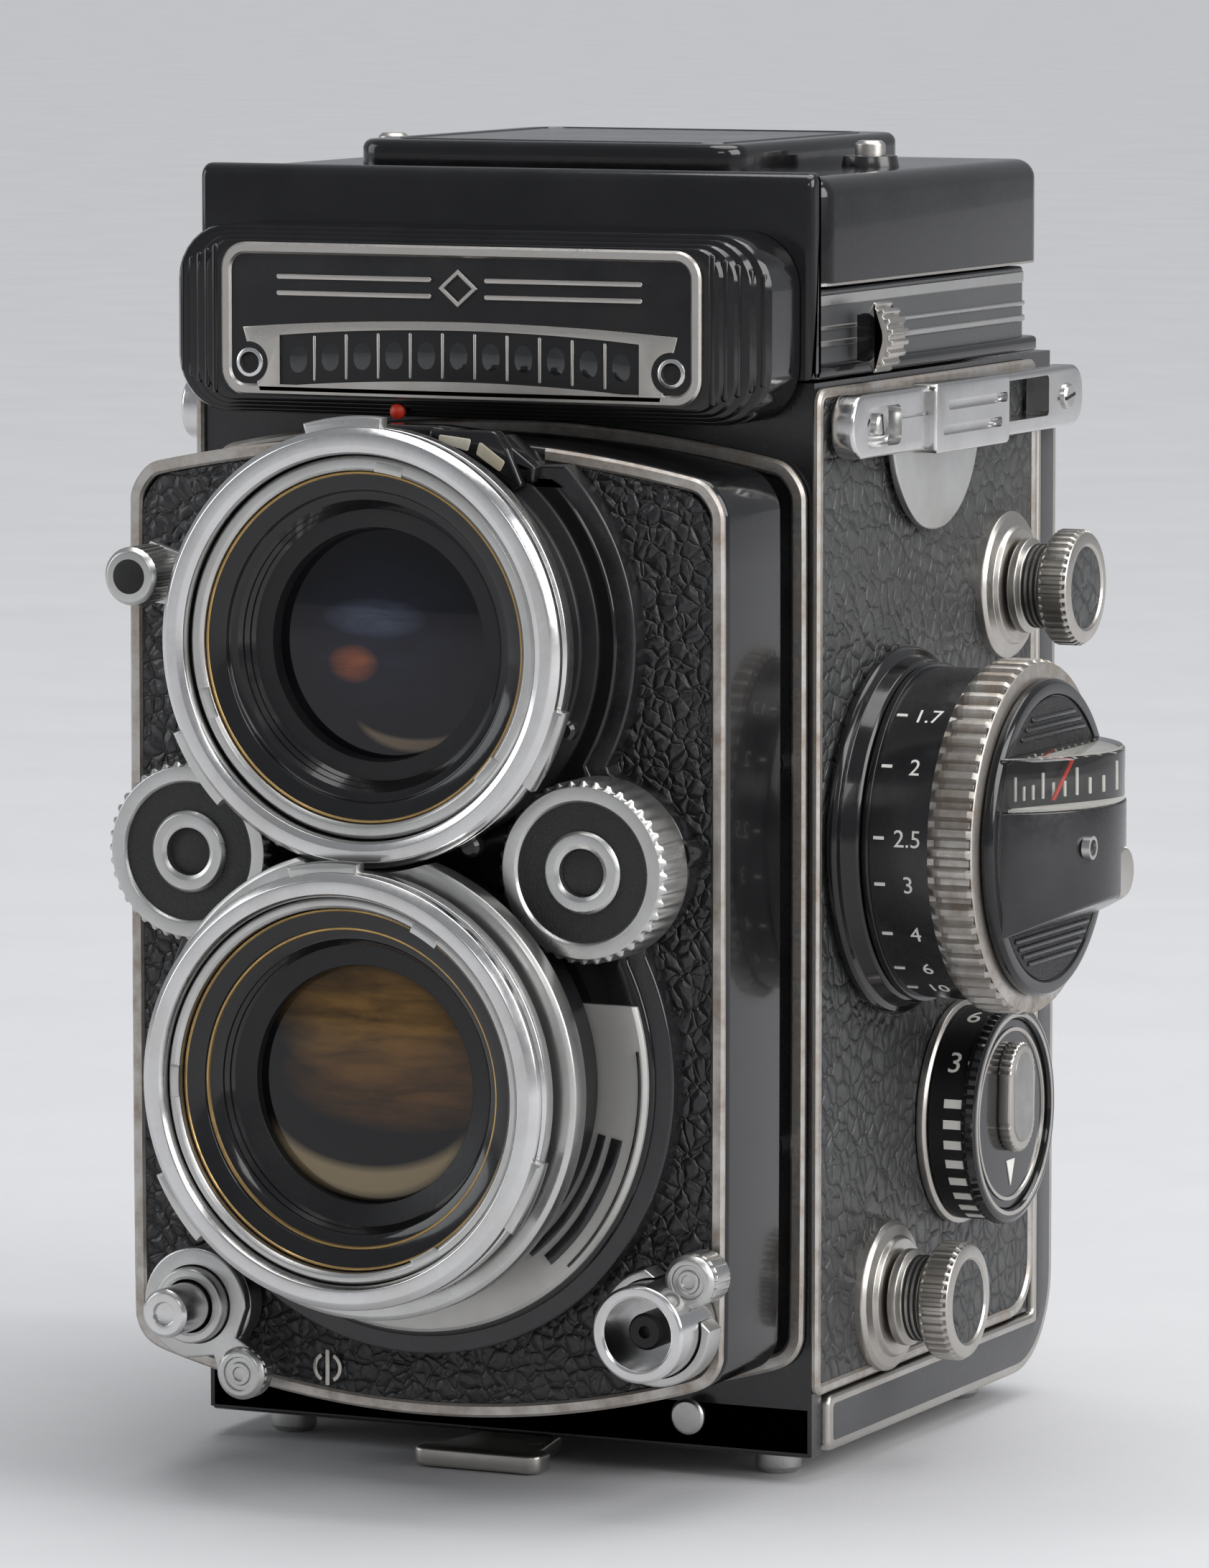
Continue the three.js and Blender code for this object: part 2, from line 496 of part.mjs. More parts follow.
// fixed cap in front of the knob, its core through the knob, and the black half-moon block
function meterHead() {
  const at = [FOCUS.y, FOCUS.z];
  const cap = turnedX([[0, 35.2], [FOCUS.core, 35.2], [FOCUS.core, 50], [14.8, 50], [14.8, 55.3], [FOCUS.cap, 55.3],
    [FOCUS.cap, 56.2], [FOCUS.cap - 0.9, 56.6], [0, 56.6]], at, 28);
  return cap.add(alongZ(halfMoon(), MOON.z0, MOON.z1))
    .add(turnedX([[0, 60], [3, 60], [3, 63.8], [2.4, 64.2], [0, 64.2]], [23.4, 63.2], 16));
}

function halfMoon() {
  const { y, chord, sagitta } = MOON;
  const r = (chord * chord / 4 + sagitta * sagitta) / (2 * sagitta);
  const spread = Math.asin(chord / 2 / r);
  const base = MOON.base + sagitta - r;
  const arc = Array.from({ length: 11 }, (_, i) => {
    const a = -spread + 2 * spread * i / 10;
    return [base + r * Math.cos(a), y + r * Math.sin(a)];
  });
  return [[MOON.base - 0.1, y - chord / 2], ...arc, [MOON.base - 0.1, y + chord / 2]];
}

const meterWindow = () => alongZ(halfMoon(), MOON.z1 + GAP, MOON.top).subtract(block(50, 56.8, 0, 40, 70, 80));

function reminderDial() {
  const at = [REMINDER.y, REMINDER.z], r = REMINDER.r;
  const dial = turnedX([[0, 37], [1.4, 37], [1.4, 38.1], [r + 0.3, 38.1], [r + 0.3, 43.2], [r, 44.6], [r - 1.2, 44.6],
    [r - 1.4, 44.1], [0, 44.1]], at, 24);
  const grip = alongX(rounded([[at[0] - 3.4, at[1] - 1.5], [at[0] + 3.4, at[1] - 1.5], [at[0] + 3.4, at[1] + 7.5],
    [at[0] - 3.4, at[1] + 7.5]], 3), 44, 46.4);
  return dial.add(grip);
}

// pull-out knob whose shaft ends just clear of the spool
function spoolKnob({ y, z }) {
  const shaftEnd = SPOOL.half + 0.5;
  const profile = [[0, shaftEnd], [2.2, shaftEnd], [2.2, 40.2], [5.4, 40.2], [5.4, 41.8], [4.6, 42], [4.6, 44.4], [6, 44.4],
    [6, 48], [0, 48]];
  return turnedX(profile, [y, z], 16).add(alongX(ribbed(y, z, 6.6, 0.35, 16), 44.8, 47.6));
}

// ---- film crank on the left side ----
const crankBase = () => turnedX([[2.6, -38.1], [13, -38.1], [13, -39.4], [11.6, -40], [2.6, -40]].reverse(), [CRANK.y, CRANK.z], 24);

function crankArm() {
  const { y, z, arm } = CRANK;
  const bar = alongX(rounded([[y - arm - 5, z - 5], [y + 6, z - 6], [y + 6, z + 6], [y - arm - 5, z + 5]], [4, 5, 5, 4]),
    -42.4, -40.2);
  const recess = alongX(rounded([[y - arm - 3.4, z - 3.4], [y - 6, z - 3.4], [y - 6, z + 3.4], [y - arm - 3.4, z + 3.4]], 1),
    -43, -41.2);
  const well = block(-43, -39, y - arm - 3.4, y - arm + 3, z - 3.4, z + 3.4);
  return bar.subtract(recess).subtract(well).add(rodX(2.4, [y, z], -41, -31)).add(rodX(5, [y, z], -43.2, -42, 20));
}

function crankHandle() {
  const { y, z, arm } = CRANK;
  return alongX(rectangle(y - arm - 2.6, y - 8, z - 2.9, z + 2.9, 2.2), -45, -41.5);
}

function caseStud() {
  return turnedY([[0, -2.6], [2, -2.6], [2, -1.8], [1.2, -1.6], [1.2, -0.15], [0, -0.15]], [23.1, 3.7], 16);
}

// ---- assembly ----
add('body_shell', bodyShell(), blackEnamel);
add('front_trim', frontTrim(), nickel);
add('right_side_panel', sidePanel(1), leather);
add('left_side_panel', sidePanel(-1), leather);
add('mirror', mirror(), silvered);
add('focusing_screen', focusingScreen(), glass);
add('hood_base', hoodBase(), blackEnamel);
add('meter_housing', meterHousing(), blackEnamel);
add('meter_cell_window', meterCellWindow(), glass);
add('film_gate', filmGate(), satinBlack);
add('right_strap_lug', strapLug(1), chrome);
add('left_strap_lug', strapLug(-1), chrome);
add('case_stud', caseStud(), chrome);
add('focus_flange', focusFlange(), satinBlack);
add('meter_head', meterHead(), satinBlack);
add('meter_window', meterWindow(), glass);
add('crank_base', crankBase(), nickel);

add('standard_casting', standardCasting(), blackEnamel);
add('standard_leatherette', standardLeatherette(), leather);
add('standard_rim', standardRim(), nickel);
add('viewing_lens_barrel', lensBarrel(VIEWING), chrome);
add('viewing_front_element', element(13.4, [0, VIEW_Z], -29.8, -26.4, 1.2), glass);
add('viewing_rear_element', element(11.2, [0, VIEW_Z], -9, -6, 1), glass);
add('shutter_case', shutterCase(), satinBlack);
add('shutter_face_plate', shutterFacePlate(), nickel);
add('taking_lens_barrel', takingBarrel(), chrome);
add('taking_front_element', element(13.9, [0, TAKE_Z], -33.8, -30.6, 1.1), glass);
add('taking_rear_element', element(9.7, [0, TAKE_Z], -2, 1, 0.8), glass);
add('release_socket', releaseSocket(), chrome);
add('flash_socket', flashSocket(), chrome);
add('readout_window', readoutWindow(), blackEnamel);

add('iris_ring', irisRing(), satinBlack);
add('aperture_wheel', thumbWheel(-1), chrome);
add('shutter_speed_wheel', thumbWheel(1), chrome);
add('release_button', releaseButton(), chrome);
add('release_lock_lever', lockLever(RELEASE, [-19.6, 9.2], 4.4, 6.2, -26, -24.3), chrome);
add('flash_lock_lever', lockLever(FLASH, [34.2, 23.1], 5.5, 6.4, -26, -22), chrome);
add('sync_lever', syncLever(), chrome);

add('focus_knob', focusKnob(), nickel);
add('film_reminder_dial', reminderDial(), satinBlack);
add('upper_spool_knob', spoolKnob(UPPER), nickel);
add('lower_spool_knob', spoolKnob(LOWER), nickel);
add('crank_arm', crankArm(), nickel);
add('crank_handle', crankHandle(), satinBlack);
add('takeup_spool', spool(UPPER), satinBlack);
add('supply_spool', spool(LOWER), satinBlack);
add('upper_film_roller', roller(78), nickel);
add('lower_film_roller', roller(8.6), nickel);
add('back_door', backDoor(), blackEnamel);
add('pressure_plate', pressurePlate(), satinBlack);
add('tripod_bush', tripodBush(), chrome);
add('latch_lever', latchLever(), nickel);
add('hood_lid', hoodLid(), greyEnamel);
add('hood_back_leaf', backLeaf(), satinBlack);
add('hood_left_leaf', sideLeaf(-1), satinBlack);
add('hood_right_leaf', sideLeaf(1), satinBlack);
add('magnifier_frame', magnifierFrame(), satinBlack);
add('magnifier_lens', magnifierLens(), glass);
add('right_hood_catch', hoodCatch(1), nickel);
add('left_hood_catch', hoodCatch(-1), nickel);

export default group;
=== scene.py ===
import math

import bmesh
import bpy
import numpy as np
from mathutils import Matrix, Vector


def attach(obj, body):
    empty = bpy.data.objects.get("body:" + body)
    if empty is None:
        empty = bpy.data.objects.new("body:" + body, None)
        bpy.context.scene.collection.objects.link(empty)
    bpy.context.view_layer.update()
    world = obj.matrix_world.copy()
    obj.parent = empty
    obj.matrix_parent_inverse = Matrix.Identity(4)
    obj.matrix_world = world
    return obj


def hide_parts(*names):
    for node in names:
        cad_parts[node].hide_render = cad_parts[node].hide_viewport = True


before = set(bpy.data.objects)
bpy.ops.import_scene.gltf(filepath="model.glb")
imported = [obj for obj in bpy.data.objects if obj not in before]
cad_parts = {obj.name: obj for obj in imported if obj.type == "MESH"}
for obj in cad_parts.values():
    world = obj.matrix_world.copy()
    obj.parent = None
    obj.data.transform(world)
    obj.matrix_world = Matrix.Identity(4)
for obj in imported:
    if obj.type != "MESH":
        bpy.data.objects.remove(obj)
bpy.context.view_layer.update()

# working frame in millimetres: x right, y to the rear, z up; body casting front at y 0, underside at z 0
workOrigin = np.array([9.65, 13.35, -3.3])
turn = 2 * math.pi


def place(points):  # millimetres of the working frame to metres of the row frame
    return (np.asarray(points, float) - workOrigin) / 1000


def softLoop(corners, radius, steps=5):
    # each corner becomes an arc whose centre lies on the corner's bisector
    c = np.asarray(corners, float)
    r = np.broadcast_to(np.asarray(radius, float), (len(c),))
    back, on = np.roll(c, 1, 0) - c, np.roll(c, -1, 0) - c
    back = back / np.linalg.norm(back, axis=1, keepdims=True)
    on = on / np.linalg.norm(on, axis=1, keepdims=True)
    half = np.arccos(np.clip((back * on).sum(1), -0.999999, 1)) / 2
    middle = back + on
    middle = middle / np.maximum(np.linalg.norm(middle, axis=1, keepdims=True), 1e-9)
    centre = c + middle * (r / np.sin(half))[:, None]
    start = c + back * (r / np.tan(half))[:, None] - centre
    sweep = -np.sign(back[:, 0] * on[:, 1] - back[:, 1] * on[:, 0]) * (math.pi - 2 * half)
    a = sweep[:, None] * np.linspace(0, 1, steps)
    x = start[:, :1] * np.cos(a) - start[:, 1:] * np.sin(a)
    y = start[:, :1] * np.sin(a) + start[:, 1:] * np.cos(a)
    return np.stack([centre[:, :1] + x, centre[:, 1:] + y], 2).reshape(-1, 2)


def tidyLoop(loop):
    # repeated points dropped, and the loop turned anticlockwise
    p = np.asarray(loop, float)
    p = p[np.linalg.norm(p - np.roll(p, 1, 0), axis=1) > 1e-4]
    area = (p[:, 0] * np.roll(p[:, 1], -1) - np.roll(p[:, 0], -1) * p[:, 1]).sum()
    return p if area > 0 else p[::-1]


def offsetLoop(loop, distance):
    # each point moves along the mitre of its two edge normals; positive is outwards
    p = np.asarray(loop, float)
    e = np.roll(p, -1, 0) - p
    e = e / np.linalg.norm(e, axis=1, keepdims=True)
    after = np.stack([e[:, 1], -e[:, 0]], 1)
    before = np.roll(after, 1, 0)
    mitre = (before + after) / np.maximum(1 + (before * after).sum(1), 0.3)[:, None]
    return p + mitre * distance


def box2d(u0, u1, v0, v1, radius=0.0, steps=6):
    return tidyLoop(softLoop([[u0, v0], [u1, v0], [u1, v1], [u0, v1]], radius, steps))


def lay(uv, depth, axis):
    # a flat loop set at a depth along the named axis
    u, v = uv[..., 0], uv[..., 1]
    d = np.broadcast_to(depth, u.shape)
    order = {"y": (u, d, v), "x": (d, u, v), "z": (u, v, d)}[axis]
    return np.stack(order, -1)


def gridFaces(rows, columns, closeRows=False):
    # quads between neighbouring rows; columns always close on themselves
    r = np.arange(rows if closeRows else rows - 1)[:, None]
    c = np.arange(columns)[None, :]
    r2, c2 = (r + 1) % rows, (c + 1) % columns
    quads = np.stack([r * columns + c, r * columns + c2, r2 * columns + c2, r2 * columns + c], -1)
    return quads.reshape(-1, 4).tolist()


def rings(loops, closeRows=False):
    # stacked rings joined row to row, capped at both ends unless the rows close
    points = np.stack(loops)
    rows, columns = points.shape[:2]
    faces = gridFaces(rows, columns, closeRows)
    if not closeRows:
        faces.append(list(range(columns)))
        faces.append(list(range((rows - 1) * columns, rows * columns)))
    return points.reshape(-1, 3), faces


def slab(outline, low, high, edge=0.4, axis="y", edgeHigh=None, steps=4):
    # plate of the outline with quarter-round edges at both faces
    loop = tidyLoop(outline)
    edgeHigh = edge if edgeHigh is None else edgeHigh
    a = np.linspace(0, math.pi / 2, steps)
    loops = [lay(offsetLoop(loop, -edge * (1 - math.sin(k))), low + edge * (1 - math.cos(k)), axis) for k in a]
    loops += [lay(offsetLoop(loop, -edgeHigh * (1 - math.sin(k))), high - edgeHigh * (1 - math.cos(k)), axis)
              for k in a[::-1]]
    return rings(loops)


def band(outer, width, low, high, edge=0.15, axis="y"):
    # closed frame: the outline carried round a four-sided section with bevelled edges
    loop = tidyLoop(outer)
    insets = [edge, 0, 0, edge, width - edge, width, width, width - edge]
    depths = [low, low + edge, high - edge, high, high, high - edge, low + edge, low]
    return rings([lay(offsetLoop(loop, -i), d, axis) for i, d in zip(insets, depths)], closeRows=True)


def lathe(profile, at, axis="y", segments=96, radius=0.0, ribs=None):
    # profile of (radius, place along the axis) carried round the axis; ribs = (count, depth, low, high, smallest r)
    p = np.asarray(profile, float)
    r = np.broadcast_to(np.asarray(radius, float), (len(p),)).copy()
    r[p[:, 0] < 1e-6] = 0
    if r.max() > 0:
        p = softLoop(p, r, 4)
    p = p[np.linalg.norm(p - np.roll(p, 1, 0), axis=1) > 1e-4]
    a = np.arange(segments) * turn / segments
    reach = np.repeat(p[:, :1], segments, 1)
    if ribs:
        count, depth, low, high, least = ribs
        wave = np.clip(0.5 + 1.1 * np.cos(a * count), 0, 1)[None, :]
        inside = ((p[:, 1] > low) & (p[:, 1] < high) & (p[:, 0] > least))[:, None]
        reach = reach - depth * (1 - wave) * inside
    u, v = at[0] + reach * np.cos(a), at[1] + reach * np.sin(a)
    points = lay(np.stack([u, v], -1), np.repeat(p[:, 1:], segments, 1), axis)
    return points.reshape(-1, 3), gridFaces(len(p), segments, True)


def join(*parts):
    # several point and face sets as one
    points, faces, start = [], [], 0
    for p, f in parts:
        points.append(np.asarray(p, float))
        faces += [[i + start for i in face] for face in f]
        start += len(p)
    return np.concatenate(points), faces


def mirrorX(part):
    points, faces = part
    return points * np.array([-1, 1, 1]), faces


pieceCount = 0
sharpAngle = 32  # degrees between faces above which an edge stays sharp


def piece(name, part, material, body, replaced=(), sharp=sharpAngle):
    # mesh at its place in the row frame: doubles merged, normals outwards, smooth with sharp edges kept
    global pieceCount
    points, faces = part
    mesh = bpy.data.meshes.new(name)
    mesh.from_pydata(place(points).tolist(), [], faces)
    work = bmesh.new()
    work.from_mesh(mesh)
    bmesh.ops.remove_doubles(work, verts=work.verts, dist=2e-6)
    bmesh.ops.dissolve_degenerate(work, edges=work.edges, dist=1e-7)
    bmesh.ops.recalc_face_normals(work, faces=work.faces)
    work.to_mesh(mesh)
    work.free()
    mesh.shade_smooth()
    mesh.set_sharp_from_angle(angle=math.radians(sharp))
    obj = bpy.data.objects.new(name, mesh)
    bpy.context.scene.collection.objects.link(obj)
    mesh.materials.append(material)
    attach(obj, body)
    if replaced:
        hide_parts(*([replaced] if isinstance(replaced, str) else replaced))
    pieceCount += 1
    return obj


def cutPiece(target, *cutters):
    # closed cutters taken out of the target, result kept as its mesh
    for points, faces in cutters:
        mesh = bpy.data.meshes.new("cutter")
        mesh.from_pydata(place(points).tolist(), [], faces)
        work = bmesh.new()
        work.from_mesh(mesh)
        bmesh.ops.remove_doubles(work, verts=work.verts, dist=2e-6)
        bmesh.ops.recalc_face_normals(work, faces=work.faces)
        work.to_mesh(mesh)
        work.free()
        tool = bpy.data.objects.new("cutter", mesh)
        bpy.context.scene.collection.objects.link(tool)
        cut = target.modifiers.new("cut", "BOOLEAN")
        cut.operation, cut.object, cut.solver = "DIFFERENCE", tool, "EXACT"
        graph = bpy.context.evaluated_depsgraph_get()
        done = bpy.data.meshes.new_from_object(target.evaluated_get(graph))
        target.modifiers.clear()
        target.data = done
        bpy.data.objects.remove(tool)
    target.data.set_sharp_from_angle(angle=math.radians(sharpAngle))
    return target


def lettering(text, size):
    # flat text 0.12 thick as points (u, v, raise) and faces, centred on its own middle
    curve = bpy.data.curves.new("lettering", "FONT")
    curve.body, curve.size, curve.resolution_u = text, size, 3
    curve.extrude = 0.06
    obj = bpy.data.objects.new("lettering", curve)
    bpy.context.scene.collection.objects.link(obj)
    graph = bpy.context.evaluated_depsgraph_get()
    mesh = bpy.data.meshes.new_from_object(obj.evaluated_get(graph))
    flat = np.empty(len(mesh.vertices) * 3)
    mesh.vertices.foreach_get("co", flat)
    p = flat.reshape(-1, 3)
    p[:, :2] -= (p[:, :2].min(0) + p[:, :2].max(0)) / 2
    faces = [list(f.vertices) for f in mesh.polygons]
    bpy.data.objects.remove(obj)
    bpy.data.meshes.remove(mesh)
    return p, faces


def letteringOnDrum(text, size, centre, radius, along, angle):
    # text wrapped on a drum about the X axis: u runs along the axis, v goes round against the angle
    p, faces = lettering(text, size)
    a = angle - p[:, 1] / radius
    reach = radius + p[:, 2]
    x = along + p[:, 0]
    return np.stack([x, centre[0] + reach * np.cos(a), centre[1] + reach * np.sin(a)], 1), faces


def newGroup(name, inputs, outputs):
    group = bpy.data.node_groups.new(name, "ShaderNodeTree")
    for label, kind, default in inputs:
        socket = group.interface.new_socket(label, in_out="INPUT", socket_type=kind)
        if default is not None:
            socket.default_value = default
    for label, kind in outputs:
        group.interface.new_socket(label, in_out="OUTPUT", socket_type=kind)
    nodes = group.nodes
    return group, nodes, group.links, nodes.new("NodeGroupInput"), nodes.new("NodeGroupOutput")


scalar, colour, vector = "NodeSocketFloat", "NodeSocketColor", "NodeSocketVector"


def mixColour(nodes, links, factor, a, b, mode="MIX"):
    mix = nodes.new("ShaderNodeMix")
    mix.data_type, mix.blend_type = "RGBA", mode
    for socket, value in ((mix.inputs[0], factor), (mix.inputs[6], a), (mix.inputs[7], b)):
        if isinstance(value, bpy.types.NodeSocket):
            links.new(value, socket)
        else:
            socket.default_value = value
    return mix.outputs[2]


def mathNode(nodes, links, operation, a, b=None, clamp=False):
    node = nodes.new("ShaderNodeMath")
    node.operation, node.use_clamp = operation, clamp
    for socket, value in ((node.inputs[0], a), (node.inputs[1], b)):
        if value is None:
            continue
        if isinstance(value, bpy.types.NodeSocket):
            links.new(value, socket)
        else:
            socket.default_value = value
    return node.outputs[0]


def remap(nodes, links, value, low, high, outLow, outHigh):
    node = nodes.new("ShaderNodeMapRange")
    for i, entry in enumerate((value, low, high, outLow, outHigh)):
        if isinstance(entry, bpy.types.NodeSocket):
            links.new(entry, node.inputs[i])
        else:
            node.inputs[i].default_value = entry
    return node.outputs[0]


def noise(nodes, links, where, scale, detail=3.0, rough=0.55, distortion=0.0):
    node = nodes.new("ShaderNodeTexNoise")
    links.new(where, node.inputs["Vector"])
    if isinstance(scale, bpy.types.NodeSocket):
        links.new(scale, node.inputs["Scale"])
    else:
        node.inputs["Scale"].default_value = scale
    node.inputs["Detail"].default_value = detail
    node.inputs["Roughness"].default_value = rough
    node.inputs["Distortion"].default_value = distortion
    return node.outputs["Fac"]


def buildVariation():
    # cloudy tint between two colours, patchy roughness, and a fine height
    group, nodes, links, start, end = newGroup("surfaceVariation", [
        ("Where", vector, None), ("Clean", colour, (0.5, 0.5, 0.5, 1)), ("Worn", colour, (0.4, 0.4, 0.4, 1)),
        ("Amount", scalar, 0.5), ("Patch Scale", scalar, 60.0), ("Rough Low", scalar, 0.2),
        ("Rough High", scalar, 0.35), ("Fine Scale", scalar, 1500.0)],
        [("Color", colour), ("Roughness", scalar), ("Height", scalar)])
    patches = noise(nodes, links, start.outputs["Where"], start.outputs["Patch Scale"], 5.0, 0.62)
    spread = remap(nodes, links, patches, 0.38, 0.68, 0.0, 1.0)
    amount = mathNode(nodes, links, "MULTIPLY", spread, start.outputs["Amount"])
    links.new(mixColour(nodes, links, amount, start.outputs["Clean"], start.outputs["Worn"]), end.inputs["Color"])
    fine = noise(nodes, links, start.outputs["Where"], start.outputs["Fine Scale"], 2.0)
    both = mathNode(nodes, links, "ADD", mathNode(nodes, links, "MULTIPLY", fine, 0.35),
                    mathNode(nodes, links, "MULTIPLY", patches, 0.65))
    links.new(remap(nodes, links, both, 0.35, 0.65, start.outputs["Rough Low"], start.outputs["Rough High"]),
              end.inputs["Roughness"])
    links.new(fine, end.inputs["Height"])
    return group


def buildPebble():
    # leather grain: rounded cells with sunk creases, bent by a slow noise; the creases are painted darker as painted
    # shade
    group, nodes, links, start, end = newGroup("pebbleGrain", [
        ("Where", vector, None), ("Cell Scale", scalar, 800.0), ("Bend", scalar, 0.0006),
        ("Raised", colour, (0.03, 0.03, 0.03, 1)), ("Crease Shade", colour, (0.01, 0.01, 0.01, 1))],
        [("Color", colour), ("Height", scalar), ("Crease Mask", scalar)])
    bend = nodes.new("ShaderNodeTexNoise")
    bend.inputs["Scale"].default_value = 380.0
    bend.inputs["Detail"].default_value = 2.0
    links.new(start.outputs["Where"], bend.inputs["Vector"])
    centred = nodes.new("ShaderNodeVectorMath")
    centred.operation = "SUBTRACT"
    links.new(bend.outputs["Color"], centred.inputs[0])
    centred.inputs[1].default_value = (0.5, 0.5, 0.5)
    sized = nodes.new("ShaderNodeVectorMath")
    sized.operation = "SCALE"
    links.new(centred.outputs[0], sized.inputs[0])
    links.new(start.outputs["Bend"], sized.inputs["Scale"])
    moved = nodes.new("ShaderNodeVectorMath")
    links.new(start.outputs["Where"], moved.inputs[0])
    links.new(sized.outputs[0], moved.inputs[1])
    heights = []
    for factor in (1.0, 0.46):
        cells = nodes.new("ShaderNodeTexVoronoi")
        cells.feature = "DISTANCE_TO_EDGE"
        links.new(moved.outputs[0], cells.inputs["Vector"])
        links.new(mathNode(nodes, links, "MULTIPLY", start.outputs["Cell Scale"], factor), cells.inputs["Scale"])
        cells.inputs["Randomness"].default_value = 1.0
        heights.append(remap(nodes, links, cells.outputs["Distance"], 0.0, 0.28, 0.0, 1.0))
    rounded = mathNode(nodes, links, "SQRT", heights[0])
    folds = mathNode(nodes, links, "SQRT", heights[1])
    height = mathNode(nodes, links, "ADD", mathNode(nodes, links, "MULTIPLY", rounded, 0.6),
                      mathNode(nodes, links, "MULTIPLY", folds, 0.4))
    links.new(mixColour(nodes, links, height, start.outputs["Crease Shade"], start.outputs["Raised"]), end.inputs["Color"])
    links.new(height, end.inputs["Height"])
    links.new(mathNode(nodes, links, "SUBTRACT", 1.0, height), end.inputs["Crease Mask"])
    return group


variationGroup = buildVariation()
pebbleGroup = buildPebble()


def material(name, look):
    # one procedural finish: tint patches, patchy roughness and a fine bump, or leather grain with painted shade in its
    # creases
    mat = bpy.data.materials.new(name)
    mat.use_nodes = True
    nodes, links = mat.node_tree.nodes, mat.node_tree.links
    shader = nodes["Principled BSDF"]
    where = nodes.new("ShaderNodeTexCoord").outputs["Object"]
    if "stretch" in look:  # brushed or turned lines: the pattern is drawn out along one axis
        mapping = nodes.new("ShaderNodeMapping")
        mapping.inputs["Scale"].default_value = look["stretch"]
        links.new(where, mapping.inputs["Vector"])
        where = mapping.outputs["Vector"]
    vary = nodes.new("ShaderNodeGroup")
    vary.node_tree = variationGroup
    links.new(where, vary.inputs["Where"])
    for label, key in (("Clean", "clean"), ("Worn", "worn")):
        vary.inputs[label].default_value = (*look[key], 1)
    for label, key, usual in (("Amount", "amount", 0.5), ("Patch Scale", "patch", 60.0), ("Rough Low", "roughLow", 0.2),
                              ("Rough High", "roughHigh", 0.35), ("Fine Scale", "fine", 1500.0)):
        vary.inputs[label].default_value = look.get(key, usual)
    tint, height, bumpDepth = vary.outputs["Color"], vary.outputs["Height"], look.get("bump", 0.00001)
    if "cells" in look:
        grain = nodes.new("ShaderNodeGroup")
        grain.node_tree = pebbleGroup
        links.new(where, grain.inputs["Where"])
        grain.inputs["Cell Scale"].default_value = look["cells"]
        grain.inputs["Bend"].default_value = look.get("bend", 0.0006)
        # raised cells keep the tint; creases are painted at 0.45 of it as painted shade
        grain.inputs["Raised"].default_value = (1, 1, 1, 1)
        grain.inputs["Crease Shade"].default_value = (0.45, 0.45, 0.45, 1)
        tint = mixColour(nodes, links, 1.0, tint, grain.outputs["Color"], "MULTIPLY")
        height = grain.outputs["Height"]
    links.new(tint, shader.inputs["Base Color"])
    links.new(vary.outputs["Roughness"], shader.inputs["Roughness"])
    bump = nodes.new("ShaderNodeBump")
    bump.inputs["Distance"].default_value = bumpDepth
    bump.inputs["Strength"].default_value = look.get("strength", 0.6)
    links.new(height, bump.inputs["Height"])
    links.new(bump.outputs["Normal"], shader.inputs["Normal"])
    shader.inputs["Metallic"].default_value = look.get("metal", 0.0)
    shader.inputs["IOR"].default_value = look.get("ior", 1.5)
    shader.inputs["Coat Weight"].default_value = look.get("coat", 0.0)
    shader.inputs["Coat Roughness"].default_value = look.get("coatRough", 0.05)
    if "transmission" in look:
        shader.inputs["Transmission Weight"].default_value = look["transmission"]
    if "specular" in look:
        shader.inputs["Specular IOR Level"].default_value = look["specular"]
    return mat


